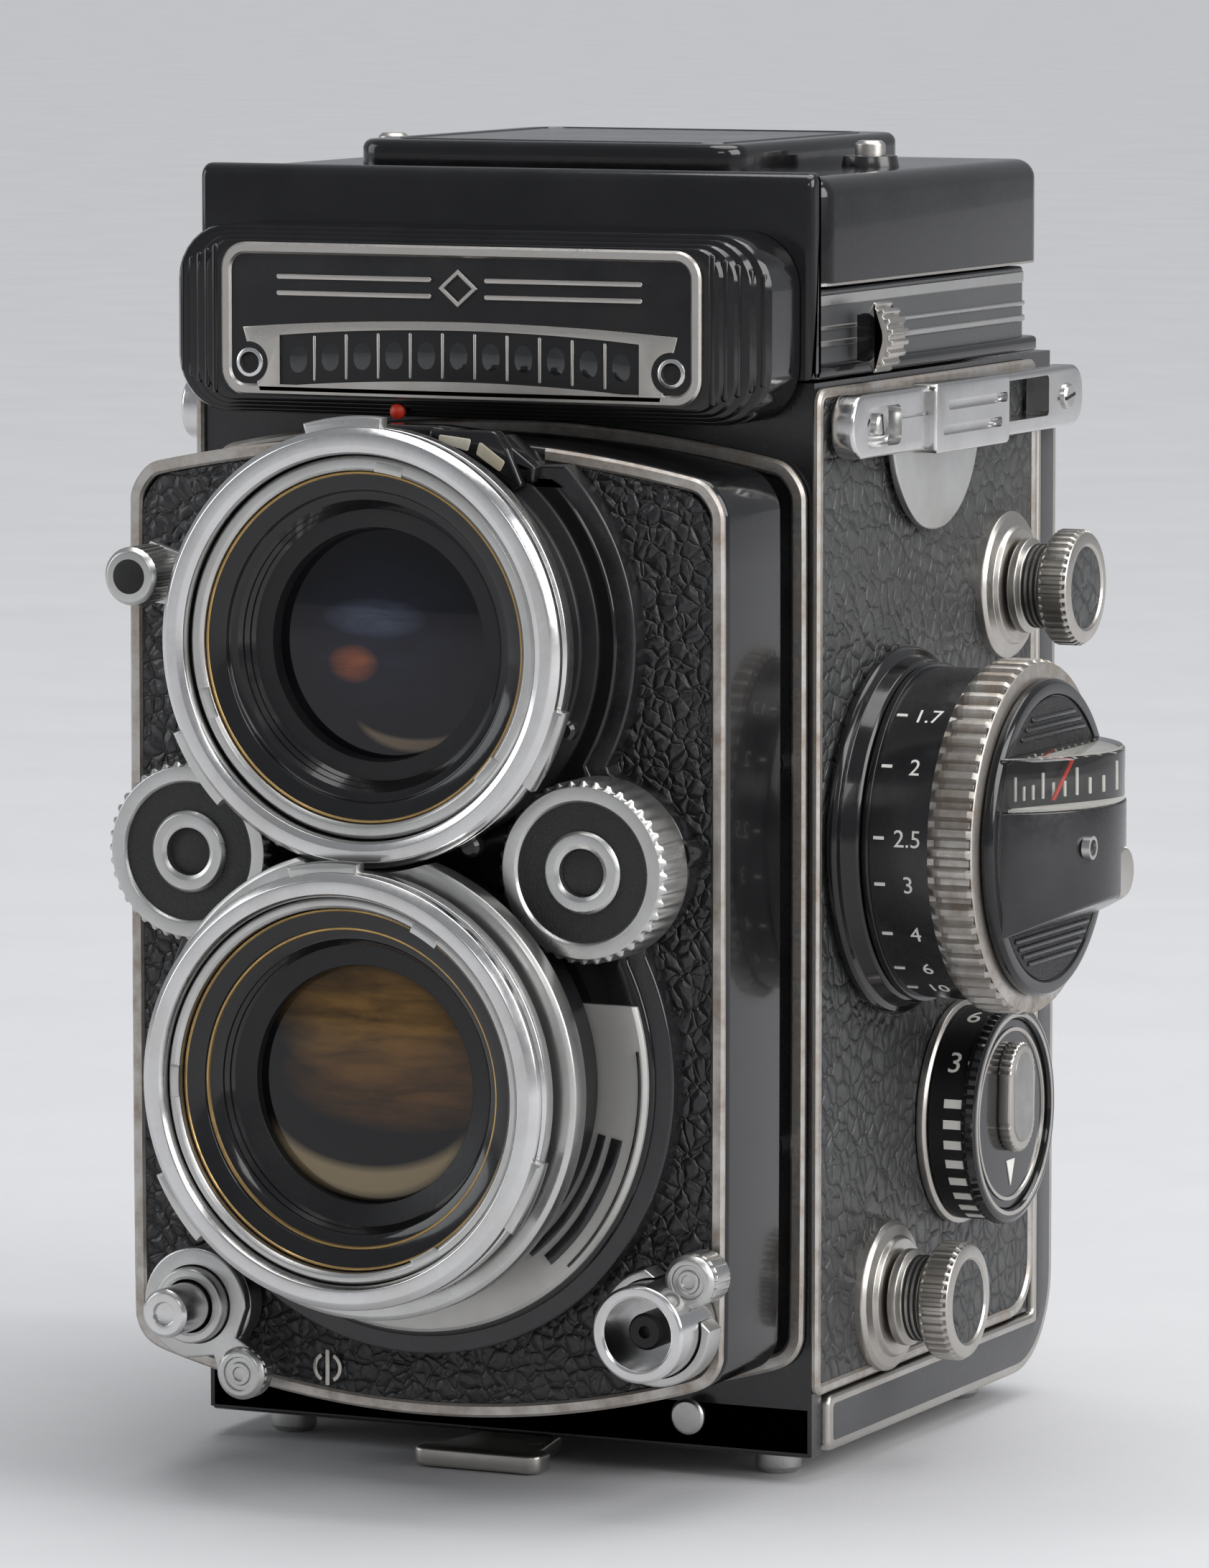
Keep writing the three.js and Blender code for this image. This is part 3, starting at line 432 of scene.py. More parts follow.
finishes = {
    "enamelBlack": dict(clean=(0.006, 0.006, 0.0065), worn=(0.012, 0.012, 0.013), amount=0.6, patch=90, roughLow=0.1,
                        roughHigh=0.2, bump=0.000012, fine=900, coat=0.35, coatRough=0.04, specular=0.32),
    "enamelWorn": dict(clean=(0.008, 0.008, 0.009), worn=(0.02, 0.02, 0.021), amount=0.7, patch=120, roughLow=0.2,
                       roughHigh=0.34, bump=0.00002, fine=1200, coat=0.3, coatRough=0.12),
    "leatherBlack": dict(clean=(0.01, 0.01, 0.011), worn=(0.022, 0.022, 0.023), amount=0.6, patch=70, roughLow=0.3,
                         roughHigh=0.44, cells=560, bend=0.0013, bump=0.0006, strength=1.0, specular=0.55),
    # the front leather's copy painted about four times lighter: a painted sheen of the side light, used on the sides,
    # back and knob inlays
    "leatherSheenPainted": dict(clean=(0.038, 0.039, 0.039), worn=(0.062, 0.063, 0.062), amount=0.6, patch=60, roughLow=0.36,
                        roughHigh=0.5, cells=430, bend=0.0013, bump=0.0006, strength=1.0, specular=0.6),
    "nickelSatin": dict(clean=(0.54, 0.52, 0.49), worn=(0.36, 0.32, 0.27), amount=0.35, patch=160, roughLow=0.26,
                        roughHigh=0.42, bump=0.00001, fine=2600, metal=1.0),
    "nickelRusted": dict(clean=(0.52, 0.5, 0.47), worn=(0.2, 0.13, 0.08), amount=0.6, patch=300, roughLow=0.3,
                         roughHigh=0.55, bump=0.00002, fine=2600, metal=0.9),
    "chromeBright": dict(clean=(0.66, 0.66, 0.66), worn=(0.5, 0.48, 0.45), amount=0.4, patch=130, roughLow=0.15,
                         roughHigh=0.27, bump=0.000006, fine=1600, metal=1.0),
    "chromeSatin": dict(clean=(0.56, 0.56, 0.55), worn=(0.4, 0.39, 0.36), amount=0.4, patch=150, roughLow=0.26,
                        roughHigh=0.38, bump=0.000008, fine=3000, metal=1.0),
    "brassDull": dict(clean=(0.5, 0.34, 0.14), worn=(0.22, 0.14, 0.07), amount=0.6, patch=300, roughLow=0.3,
                      roughHigh=0.5, metal=1.0),
    "paintSatinBlack": dict(clean=(0.007, 0.007, 0.008), worn=(0.016, 0.016, 0.016), amount=0.5, patch=120,
                            roughLow=0.32, roughHigh=0.46, bump=0.00002, fine=2200, specular=0.36),
    "paintMatBlack": dict(clean=(0.006, 0.006, 0.006), worn=(0.012, 0.012, 0.012), amount=0.5, patch=120, roughLow=0.6,
                          roughHigh=0.8, bump=0.00002, fine=2200),
    "hoodGrey": dict(clean=(0.045, 0.046, 0.048), worn=(0.07, 0.071, 0.073), amount=0.5, patch=50, roughLow=0.3,
                     roughHigh=0.42, bump=0.00003, fine=1900, specular=0.6),
    "hatchedBlack": dict(clean=(0.012, 0.012, 0.013), worn=(0.03, 0.03, 0.03), amount=0.5, patch=150, roughLow=0.45,
                         roughHigh=0.6, cells=1900, bend=0.0001, bump=0.00012, strength=0.8),
    "silverPaint": dict(clean=(0.5, 0.49, 0.47), worn=(0.38, 0.37, 0.34), amount=0.4, patch=200, roughLow=0.35,
                        roughHigh=0.48, metal=0.45),
    "grainedBlack": dict(clean=(0.014, 0.014, 0.014), worn=(0.028, 0.028, 0.028), amount=0.5, patch=150, roughLow=0.45,
                         roughHigh=0.6, cells=2600, bend=0.0003, bump=0.00008, strength=0.7),
    "paintWhite": dict(clean=(0.75, 0.74, 0.7), worn=(0.6, 0.58, 0.52), amount=0.4, patch=200, roughLow=0.4,
                       roughHigh=0.55),
    "paintRed": dict(clean=(0.6, 0.03, 0.01), worn=(0.4, 0.03, 0.01), amount=0.4, patch=200, roughLow=0.35,
                     roughHigh=0.5),
    "greyDisc": dict(clean=(0.3, 0.3, 0.29), worn=(0.2, 0.2, 0.19), amount=0.5, patch=240, roughLow=0.35,
                     roughHigh=0.5, metal=0.6),
    "glassClear": dict(clean=(0.97, 0.98, 0.97), worn=(0.93, 0.94, 0.9), amount=0.3, patch=90, roughLow=0.0,
                       roughHigh=0.03, bump=0.0, transmission=1.0, ior=1.5),
    "glassSmoked": dict(clean=(0.9, 0.9, 0.88), worn=(0.82, 0.82, 0.78), amount=0.3, patch=90, roughLow=0.0,
                        roughHigh=0.03, bump=0.0, transmission=1.0, ior=1.55),
    "meterCell": dict(clean=(0.016, 0.018, 0.018), worn=(0.008, 0.008, 0.008), amount=0.8, patch=260, roughLow=0.05,
                      roughHigh=0.12, coat=0.7, coatRough=0.02),
    "windowAmber": dict(clean=(0.5, 0.43, 0.3), worn=(0.7, 0.68, 0.6), amount=0.8, patch=150, roughLow=0.1,
                        roughHigh=0.25),
    "mirrorSilver": dict(clean=(0.9, 0.9, 0.9), worn=(0.8, 0.8, 0.78), amount=0.3, patch=50, roughLow=0.02,
                         roughHigh=0.06, bump=0.0, metal=1.0),
    "groundGlass": dict(clean=(0.55, 0.56, 0.55), worn=(0.45, 0.46, 0.45), amount=0.3, patch=50, roughLow=0.3,
                        roughHigh=0.4, bump=0.00001),
}
mats = {name: material(name, look) for name, look in finishes.items()}


def spotMask(nodes, links, split, spot):
    # one minus the squared distances along x and z, each over its own reach
    parts = []
    for axis, centre, reach in (("X", spot[0], spot[2]), ("Z", spot[1], spot[3])):
        away = mathNode(nodes, links, "DIVIDE", mathNode(nodes, links, "SUBTRACT", split.outputs[axis], centre), reach)
        parts.append(mathNode(nodes, links, "MULTIPLY", away, away))
    return mathNode(nodes, links, "SUBTRACT", 1.0, mathNode(nodes, links, "ADD", parts[0], parts[1]), clamp=True)


def reflectionPaintedGlass(name, look):
    # dark curved glass with painted reflections: soft tinted reflection patches and a bright painted crescent highlight
    # in the base colour, broken by long streaks
    mat = bpy.data.materials.new(name)
    mat.use_nodes = True
    nodes, links = mat.node_tree.nodes, mat.node_tree.links
    shader = nodes["Principled BSDF"]
    where = nodes.new("ShaderNodeTexCoord").outputs["Object"]
    split = nodes.new("ShaderNodeSeparateXYZ")
    links.new(where, split.inputs[0])
    mapping = nodes.new("ShaderNodeMapping")
    mapping.inputs["Rotation"].default_value = (0, look["lean"], 0)
    mapping.inputs["Scale"].default_value = (0.35, 1, 1.6)
    links.new(where, mapping.inputs["Vector"])
    streaks = remap(nodes, links, noise(nodes, links, mapping.outputs["Vector"], look["scale"], 5.0, 0.6, 0.5),
                    0.3, 0.7, 0.25, 1.0)
    tint = (*look["dark"], 1)
    for spot, reflectionTint, streaked in look["reflectionSpots"]:
        mask = spotMask(nodes, links, split, spot[:4])
        if len(spot) > 4:
            cut = mathNode(nodes, links, "MULTIPLY", spotMask(nodes, links, split, spot[4:]), 5.0, clamp=True)
            mask = mathNode(nodes, links, "MULTIPLY", mathNode(nodes, links, "MULTIPLY", mask, 4.0, clamp=True),
                            mathNode(nodes, links, "SUBTRACT", 1.0, cut))
        if streaked:
            mask = mathNode(nodes, links, "MULTIPLY", mask, streaks, clamp=True)
        # each spot mixes its painted reflection colour into the base colour
        tint = mixColour(nodes, links, mask, tint, (*reflectionTint, 1))
    links.new(tint, shader.inputs["Base Color"])
    links.new(remap(nodes, links, streaks, 0.25, 1.0, 0.04, 0.1), shader.inputs["Roughness"])
    shader.inputs["Metallic"].default_value = 0.2
    shader.inputs["Specular IOR Level"].default_value = 0.3
    shader.inputs["Coat Weight"].default_value = 0.3
    shader.inputs["Coat Roughness"].default_value = 0.02
    return mat


# reflection spots painted into the glass colour: place x, z and reach x, z in metres, and for a painted crescent
# highlight the ellipse cut from it
mats["amberReflectionGlass"] = reflectionPaintedGlass("amberReflectionGlass", dict(dark=(0.003, 0.003, 0.004), scale=330.0, lean=0.1, reflectionSpots=[
    ((-0.0085, 0.0535, 0.0125, 0.0075), (0.26, 0.14, 0.035), True),
    ((-0.006, 0.0475, 0.0145, 0.006), (0.12, 0.055, 0.014), True),
    ((-0.0096, 0.0425, 0.012, 0.0085, -0.0096, 0.0465, 0.0145, 0.0095), (0.22, 0.17, 0.1), False)]))
mats["blueReflectionGlass"] = reflectionPaintedGlass("blueReflectionGlass", dict(dark=(0.004, 0.004, 0.006), scale=420.0, lean=0.2, reflectionSpots=[
    ((-0.0095, 0.0945, 0.0115, 0.0095), (0.012, 0.013, 0.026), True),
    ((-0.013, 0.0915, 0.0032, 0.0022), (0.24, 0.07, 0.03), True),
    ((-0.0105, 0.0965, 0.0065, 0.0022), (0.06, 0.075, 0.11), True),
    ((-0.006, 0.086, 0.007, 0.004, -0.006, 0.0875, 0.0085, 0.0042), (0.12, 0.09, 0.06), False)]))
print("finishes ready")

def standardOutline(grow=0.0):
    # arched top and bottom, straight sides, small corners; grow moves it outwards
    half, top, low = 35.7 + grow, 111.9 + grow, 5.2 - grow
    xb, xt = np.linspace(-half + 3, half - 3, 28), np.linspace(half - 2.5, -half + 2.5, 28)
    bottom = np.stack([xb, low + 6 * (xb / half) ** 2], 1)
    arch = np.stack([xt, top - 4.2 * (xt / half) ** 2], 1)
    right = [[half - 1.5, low + 5.9], [half - 0.5, low + 7.3], [half, low + 9.2], [half, top - 8.2],
             [half - 0.25, top - 6.6], [half - 1.1, top - 5.1]]
    left = [[-x, z] for x, z in right[::-1]]
    loop = tidyLoop(np.concatenate([bottom, right, arch, left]))
    for again in range(2):  # corner cutting: each edge keeps its middle half
        after = np.roll(loop, -1, 0)
        loop = np.stack([0.75 * loop + 0.25 * after, 0.25 * loop + 0.75 * after], 1).reshape(-1, 2)
    return loop


def platformOutline(grow=0.0):
    # widest reach of the four discs and the block at each height, eased where they meet
    low, high = 12.4, 109.6
    z = low + (high - low) * (0.5 - 0.5 * np.cos(np.linspace(0, math.pi, 260)))
    discs = [(0, 43.4, 31), (0, 90.4, 26.5), (23.5, 66.9, 9.2)]
    reach = np.max([u + np.sqrt(np.maximum(r * r - (z - v) ** 2, 0)) * (np.abs(z - v) < r) - 99 * (np.abs(z - v) >= r)
                    for u, v, r in discs], axis=0)
    reach = np.maximum(reach, np.where((z > 58) & (z < 76), 24, 0))
    reach = np.minimum(reach, 33.4)
    even = np.linspace(low, high, 600)
    flat = np.interp(even, z, reach)
    kernel = np.ones(15) / 15
    eased = np.convolve(np.pad(flat, 7, mode="edge"), kernel, "valid")
    w = np.where((z > 50) & (z < 90), np.interp(z, even, eased), reach)
    w[0] = 0
    right, left = np.stack([w, z], 1)[1:], np.stack([-w, z], 1)[1:][::-1]
    return offsetLoop(tidyLoop(np.concatenate([[[0, low]], right, left])), grow)


def arcStrip(centre, r0, r1, a0, a1, low, high, axis="y", steps=40, edge=0.1):
    # flat bar bent along an arc, from angle a0 to a1 in degrees
    a = np.radians(np.linspace(a0, a1, steps))
    outer = np.stack([centre[0] + r1 * np.cos(a), centre[1] + r1 * np.sin(a)], 1)
    inner = np.stack([centre[0] + r0 * np.cos(a), centre[1] + r0 * np.sin(a)], 1)[::-1]
    return slab(np.concatenate([outer, inner]), low, high, edge, axis, steps=3)


def dome(at, r, edgeAt, bulge, back, axis="y", segments=72, steps=12):
    # part of a sphere with its rim at edgeAt, standing out by bulge, closed flat at the back
    a = np.linspace(1, 0, steps)
    profile = [[0, back], [r, back]] + [[r * k, edgeAt - bulge * (1 - k * k)] for k in a]
    return lathe(profile, at, axis, segments)


def screw(at, r, low, high, axis="x", angle=20.0):
    # domed head, and a dark bar set into it at an angle for its slot
    points, faces = lathe([[0, low], [r, low], [r, high - 0.25], [r * 0.8, high], [0, high]], at, axis, 28)
    a = math.radians(angle)
    u, w = r * 0.94, r * 0.13
    corners = np.array([[-u, -w], [u, -w], [u, w], [-u, w]])
    turned = corners @ np.array([[math.cos(a), math.sin(a)], [-math.sin(a), math.cos(a)]])
    slot = slab(turned + np.array(at), high - 0.08, high + 0.03, 0.01, axis, steps=2)
    return (points, faces), slot


body, stand = "camera_body", "lens_standard"

sidePlate = dict(y0=-0.7, y1=62.1, z0=6.7, z1=116.9, trim=1.25, sheet=0.45, corners=(1.4, 6.4, 1.9, 1.9))


def buildSides():
    s = sidePlate
    corners = [[s["y0"], s["z0"]], [s["y1"], s["z0"]], [s["y1"], s["z1"]], [s["y0"], s["z1"]]]
    loop = softLoop(corners, s["corners"], 8)
    trim = band(loop, s["trim"], 37.0, 37.95, 0.3, "x")
    # the leather swells gently between its rims
    sheet = slab(offsetLoop(tidyLoop(loop), -s["trim"] + 0.1), 37.0, 37.0 + s["sheet"] + 0.2, 0.25, "x")
    piece("side_trim_right", trim, mats["nickelRusted"], body)
    piece("side_trim_left", mirrorX(trim), mats["nickelRusted"], body)
    flanges = [lathe([[2.4, 37.2], [8.4, 37.2], [8.4, 38.5], [7.9, 38.9], [6.8, 39.2], [6.5, 39.8], [2.4, 39.8]],
                     at, "x", 64, (0, 0, 0.3, 0.2, 0.2, 0.25, 0)) for at in spoolKnobs.values()]
    piece("spool_knob_flanges", join(*flanges), mats["nickelSatin"], body)
    piece("side_leather_right", sheet, mats["leatherSheenPainted"], body, "right_side_panel")
    piece("side_leather_left", mirrorX(sheet), mats["leatherSheenPainted"], body, "left_side_panel")
    front = band(standardOutline(0.75), 1.7, -1.15, 0.0, 0.35)
    piece("front_edge_trim", front, mats["nickelRusted"], body, "front_trim")


frontPlate = dict(front=-20.0, rear=-6.0, wall=1.3, skin=2.4, roundEdge=0.9)


def buildStandard():
    f = frontPlate
    a = np.linspace(0, math.pi / 2, 6)
    outer = standardOutline()
    inner = offsetLoop(outer, -f["wall"])
    loops = [lay(inner, f["front"] + f["skin"], "y"), lay(inner, f["rear"], "y"), lay(outer, f["rear"], "y")]
    loops += [lay(offsetLoop(outer, -f["roundEdge"] * (1 - math.cos(k))),
                  f["front"] + f["roundEdge"] * (1 - math.sin(k)), "y") for k in a]
    shell = rings(loops)
    rods = [lathe([[0, -18], [1.5, -18], [1.5, 5.8], [0, 5.8]], at, "y", 32)
            for at in ((31.8, 76), (-31.8, 76), (31.8, 34), (-31.8, 34))]
    piece("standard_shell", shell, mats["enamelBlack"], stand, "standard_casting")
    piece("standard_rods", join(*rods), mats["chromeSatin"], stand)
    raised = slab(platformOutline(), -23.5, -19.9, 0.3, "y", edgeHigh=0.05, steps=6)
    piece("standard_platform", raised, mats["enamelWorn"], stand)
    piece("platform_step", slab(platformOutline(-2.0), -23.95, -23.2, 0.35, "y", steps=5), mats["enamelBlack"], stand)
    sheet = slab(standardOutline(-1.35), -20.75, -20.0, 0.3, "y", edgeHigh=0.05)
    piece("standard_leather", sheet, mats["leatherBlack"], stand, "standard_leatherette")
    rim = piece("standard_edge_rim", band(standardOutline(0.0), 1.5, -20.95, -20.0, 0.3), mats["nickelRusted"],
                stand, "standard_rim")
    cutPiece(rim, slab(box2d(-15.9, 14.7, 100, 116), -24, -18, 0.01, "y"))
    bosses = [lathe([[0, -21], [1.6, -21], [1.6, -24.2], [1.3, -24.5], [0, -24.5]], at, "y", 28)
              for at in ((32.2, 68.6), (-32.2, 68.6))]
    piece("platform_bosses", join(*bosses), mats["enamelBlack"], stand)


viewing = dict(at=(0, 90.4), front=-37.0)
taking = dict(at=(0, 43.4), front=-42.0)


def buildViewingLens():
    at, y = viewing["at"], viewing["front"]
    outer = [[20.7, y + 4.6], [20.7, y + 0.9], [20.9, y + 0.3], [21.6, y], [22.9, y], [23.6, y + 0.8], [23.6, y + 1.6],
             [23.1, y + 1.9], [23.1, y + 2.5], [23.5, y + 2.8], [23.5, y + 4.6]]
    ring = lathe(outer, at, "y", 144, (0, 0.2, 0.2, 0.35, 0.35, 0.3, 0.15, 0.15, 0.15, 0.15, 0.1))
    piece("viewing_bayonet_ring", ring, mats["chromeBright"], stand, "viewing_lens_barrel")
    inner = lathe([[18.9, y + 3.2], [18.9, y + 1.5], [19.3, y + 1.15], [20.1, y + 1.15], [20.5, y + 1.6], [20.5, y + 3.2]],
                  at, "y", 144, 0.15)
    piece("viewing_lip", inner, mats["chromeSatin"], stand)
    lugs = [arcStrip(at, 22.2, 24.7, a - 11, a + 11, y + 0.9, y + 3.0, "y", 20, 0.45) for a in (95, 215, 335)]
    lugs += [arcStrip(at, 18.9, 20.0, a - 5, a + 5, y + 1.05, y + 1.5, "y", 10, 0.15) for a in (80, 200, 320)]
    piece("viewing_bayonet_lugs", join(*lugs), mats["chromeSatin"], stand)
    steps = [[r, y + 6.1 - 0.42 * k] for k, r in enumerate((14.2, 14.5, 14.5, 14.9, 14.9, 15.3, 15.3, 15.7))]
    name = lathe([[13.4, y + 6.3]] + steps + [[16.6, y + 3.1], [16.8, y + 2.5], [18.7, y + 1.9], [18.95, y + 2.2],
                 [18.95, y + 6.6], [13.4, y + 6.8]], at, "y", 128, [0] * 9 + [0.3, 0.2, 0.2, 0.1, 0, 0])
    piece("viewing_name_ring", name, mats["enamelBlack"], stand)
    lines = lathe([[18.5, y + 1.85], [18.6, y + 1.75], [18.75, y + 1.75], [18.85, y + 1.9]], at, "y", 128)
    thin = lathe([[14.0, y + 5.9], [14.1, y + 5.75], [14.25, y + 5.75], [14.3, y + 5.9]], at, "y", 128)
    piece("viewing_ring_lines", join(lines, thin), mats["brassDull"], stand)
    barrel = lathe([[12.6, -31.6], [20.9, -32.4], [21.4, -32.2], [21.4, -29.4], [20.6, -29], [20.6, -24.8], [22.6, -24.4],
                    [22.6, -23.4], [17.6, -23.4], [17.6, -3], [11.6, -3], [11.6, -24]], at, "y", 128,
                   (0, 0.2, 0.2, 0.3, 0.3, 0.4, 0.3, 0, 0, 0.3, 0, 0))
    piece("viewing_barrel", barrel, mats["paintSatinBlack"], stand)
    keeper = lathe([[12.9, -30.6], [13.5, -31.3], [14.2, -31.3], [14.6, -30.6], [14.6, -29], [12.9, -29]], at, "y", 96, 0.15)
    piece("viewing_glass_keeper", keeper, mats["paintSatinBlack"], stand)
    piece("viewing_front_glass", dome(at, 13.3, -29.9, 1.1, -27), mats["blueReflectionGlass"], stand, "viewing_front_element")
    studs = [lathe([[0, -31.2], [1.15, -31.2], [1.15, -32.4], [0.8, -32.8], [0, -32.8]],
                   (23.9 * math.cos(math.radians(a)), 90.4 + 23.9 * math.sin(math.radians(a))), "y", 20)
             for a in (-118, -62, 200, -20)]
    piece("viewing_ring_studs", join(*studs), mats["enamelBlack"], stand)


def buildTakingLens():
    at, y = taking["at"], taking["front"]
    outer = [[20.9, y + 4.4], [20.9, y + 0.7], [21.3, y], [22.7, y], [23.5, y + 0.7], [23.6, y + 1.5], [23.1, y + 1.8],
             [23.1, y + 2.3], [23.5, y + 2.6], [23.5, y + 4.4]]
    ring = lathe(outer, at, "y", 144, (0, 0.25, 0.25, 0.35, 0.3, 0.2, 0.12, 0.12, 0.12, 0.1))
    piece("taking_bayonet_ring", ring, mats["chromeBright"], stand, "taking_lens_barrel")
    inner = lathe([[19.6, y + 3.4], [19.6, y + 1.5], [20.0, y + 1.1], [20.5, y + 1.1], [20.8, y + 1.5], [20.8, y + 3.4]],
                  at, "y", 144, 0.15)
    piece("taking_lip", inner, mats["chromeSatin"], stand)
    lugs = [arcStrip(at, 22.0, 24.6, a - 10, a + 10, y + 0.9, y + 3.0, "y", 20, 0.45) for a in (95, 215, 335)]
    lugs += [arcStrip(at, 19.4, 20.5, a - 5, a + 5, y + 1.0, y + 1.6, "y", 10, 0.15) for a in (60, 180, 300)]
    piece("taking_bayonet_lugs", join(*lugs), mats["chromeSatin"], stand)
    steps = [[r, y + 7.1 - 0.42 * k] for k, r in enumerate((14.8, 15.1, 15.1, 15.5, 15.5, 15.9, 15.9, 16.3))]
    name = lathe([[13.9, y + 7.3]] + steps + [[17.2, y + 3.9], [17.4, y + 3.2], [19.3, y + 2.5], [19.6, y + 2.8],
                 [19.6, y + 7.4], [13.9, y + 7.8]], at, "y", 128, [0] * 9 + [0.3, 0.2, 0.2, 0.1, 0, 0])
    piece("taking_name_ring", name, mats["enamelBlack"], stand)
    lines = lathe([[17.0, y + 3.75], [17.1, y + 3.55], [17.3, y + 3.5], [17.35, y + 3.7]], at, "y", 128)
    thin = lathe([[19.15, y + 2.5], [19.25, y + 2.38], [19.4, y + 2.38], [19.5, y + 2.55]], at, "y", 128)
    piece("taking_ring_lines", join(lines, thin), mats["brassDull"], stand)
    barrel = lathe([[12.9, -35.2], [22.2, -37.8], [22.8, -37.5], [22.8, -36.2], [22.3, -36.0], [22.3, -33.2], [12.9, -32.6]],
                   at, "y", 128, 0.15)
    piece("taking_barrel", barrel, mats["paintSatinBlack"], stand)
    keeper = lathe([[13.3, -34.6], [13.9, -35.3], [14.7, -35.3], [15.1, -34.6], [15.1, -33], [13.3, -33]], at, "y", 96, 0.15)
    piece("taking_glass_keeper", keeper, mats["paintSatinBlack"], stand)
    piece("taking_front_glass", dome(at, 13.8, -33.9, 1.1, -31), mats["amberReflectionGlass"], stand, "taking_front_element")
    root = lathe([[22.4, -33.1], [22.4, -36.4], [24.9, -36.4], [25.4, -36.0], [25.4, -33.4], [25.0, -33.1]], at, "y", 288,
                 (0, 0.2, 0.3, 0.3, 0.2, 0.2), ribs=(72, 0.28, -35.8, -33.6, 25))
    rootRing = piece("shutter_knurled_ring", root, mats["chromeSatin"], stand, "shutter_case")
    cutPiece(rootRing, lathe([[0, -40], [24.1, -40], [24.1, -30], [0, -30]], viewing["at"], "y", 96))
    case = lathe([[14.2, -31.9], [22.6, -31.9], [22.9, -31.6], [22.9, -25.2], [20.8, -24.9], [20.8, -3.5], [11.4, -3.5],
                  [11.4, 2.2], [10, 2.2], [10, -5], [13, -5], [13, -18], [14.2, -18]], at, "y", 128)
    piece("shutter_body", case, mats["paintSatinBlack"], stand)
    face = lathe([[21.6, -23.3], [21.6, -24.7], [28.0, -24.75], [28.4, -24.4], [28.4, -23.3]], at, "y", 128, 0.1)
    plate = piece("shutter_scale_plate", face, mats["silverPaint"], stand, "shutter_face_plate")
    cutPiece(plate, slab(box2d(-34, 34, 52, 80), -28, -20, 0.01, "y"))
    marks = [arcStrip(at, r0, r1, 308 + lag, 347, -24.95, -24.6, "y", 30, 0.05)
             for r0, r1, lag in ((23.4, 24.3, 0), (25.0, 26.3, 3), (27.5, 27.8, 6))]
    marks += [arcStrip(at, 27.5, 27.8, 347, 368, -24.95, -24.6, "y", 20, 0.05)]
    piece("shutter_scale_marks", join(*marks), mats["enamelWorn"], stand)


wheels = dict(z=66.9, x=23.5, front=-31.0, teeth=40)


def buildWheels():
    w = wheels
    for side, name, node, rider in ((-1, "aperture", "aperture_wheel", "aperture_dial"),
                                    (1, "speed", "shutter_speed_wheel", "speed_dial")):
        at, y = (side * w["x"], w["z"]), w["front"]
        rim = lathe([[7.5, -24.8], [7.5, y + 0.5], [7.8, y + 0.15], [9.2, y + 0.15], [9.85, y + 0.8], [9.85, -25.0],
                     [9.4, -24.8]], at, "y", 320, (0, 0.1, 0.15, 0.2, 0.3, 0.2, 0.1),
                    ribs=(w["teeth"], 0.42, y + 0.7, -25.2, 9.3))
        piece(name + "_wheel_rim", rim, mats["chromeSatin"], rider, node)
        face = lathe([[4.4, -25], [4.4, y + 0.7], [7.6, y + 0.55], [7.6, -25]], at, "y", 96, 0.1)
        piece(name + "_wheel_face", face, mats["grainedBlack"], rider)
        hub = lathe([[2.5, y + 1.2], [2.6, y + 0.35], [3.1, y + 0.1], [4.1, y + 0.1], [4.5, y + 0.5], [4.5, -25], [2.0, -25],
                     [2.0, -16], [0, -16], [0, y + 1.2]], at, "y", 96, (0.1, 0.1, 0.2, 0.2, 0.15, 0, 0, 0, 0, 0))
        piece(name + "_wheel_hub", hub, mats["chromeSatin"], rider)
        cap = dome(at, 2.45, y + 1.1, 0.45, y + 1.6, "y", 48, 8)
        piece(name + "_wheel_cap", cap, mats["grainedBlack"], rider)


levers = dict(release=(-25.5, 16.4), flash=(29.7, 17.6), sync=(-30.2, 96.6))


def hookOutline(pivot, end, outer, tip):
    # two discs joined by an arm that narrows towards its end, as one outline
    dx, dz = end[0] - pivot[0], end[1] - pivot[1]
    length, lean = math.hypot(dx, dz), math.atan2(dz, dx)
    a = np.linspace(math.radians(50), math.radians(310), 40)
    b = np.linspace(math.radians(-115), math.radians(115), 24)
    big = np.stack([outer * np.cos(a), outer * np.sin(a)], 1)
    small = np.stack([length + tip * np.cos(b), tip * np.sin(b)], 1)
    waist = np.array([length, tip]) * 0.62
    loop = np.concatenate([big, [waist * [1, -1]], small, [waist]])
    spin = np.array([[math.cos(lean), math.sin(lean)], [-math.sin(lean), math.cos(lean)]])
    return loop @ spin + np.array(pivot)


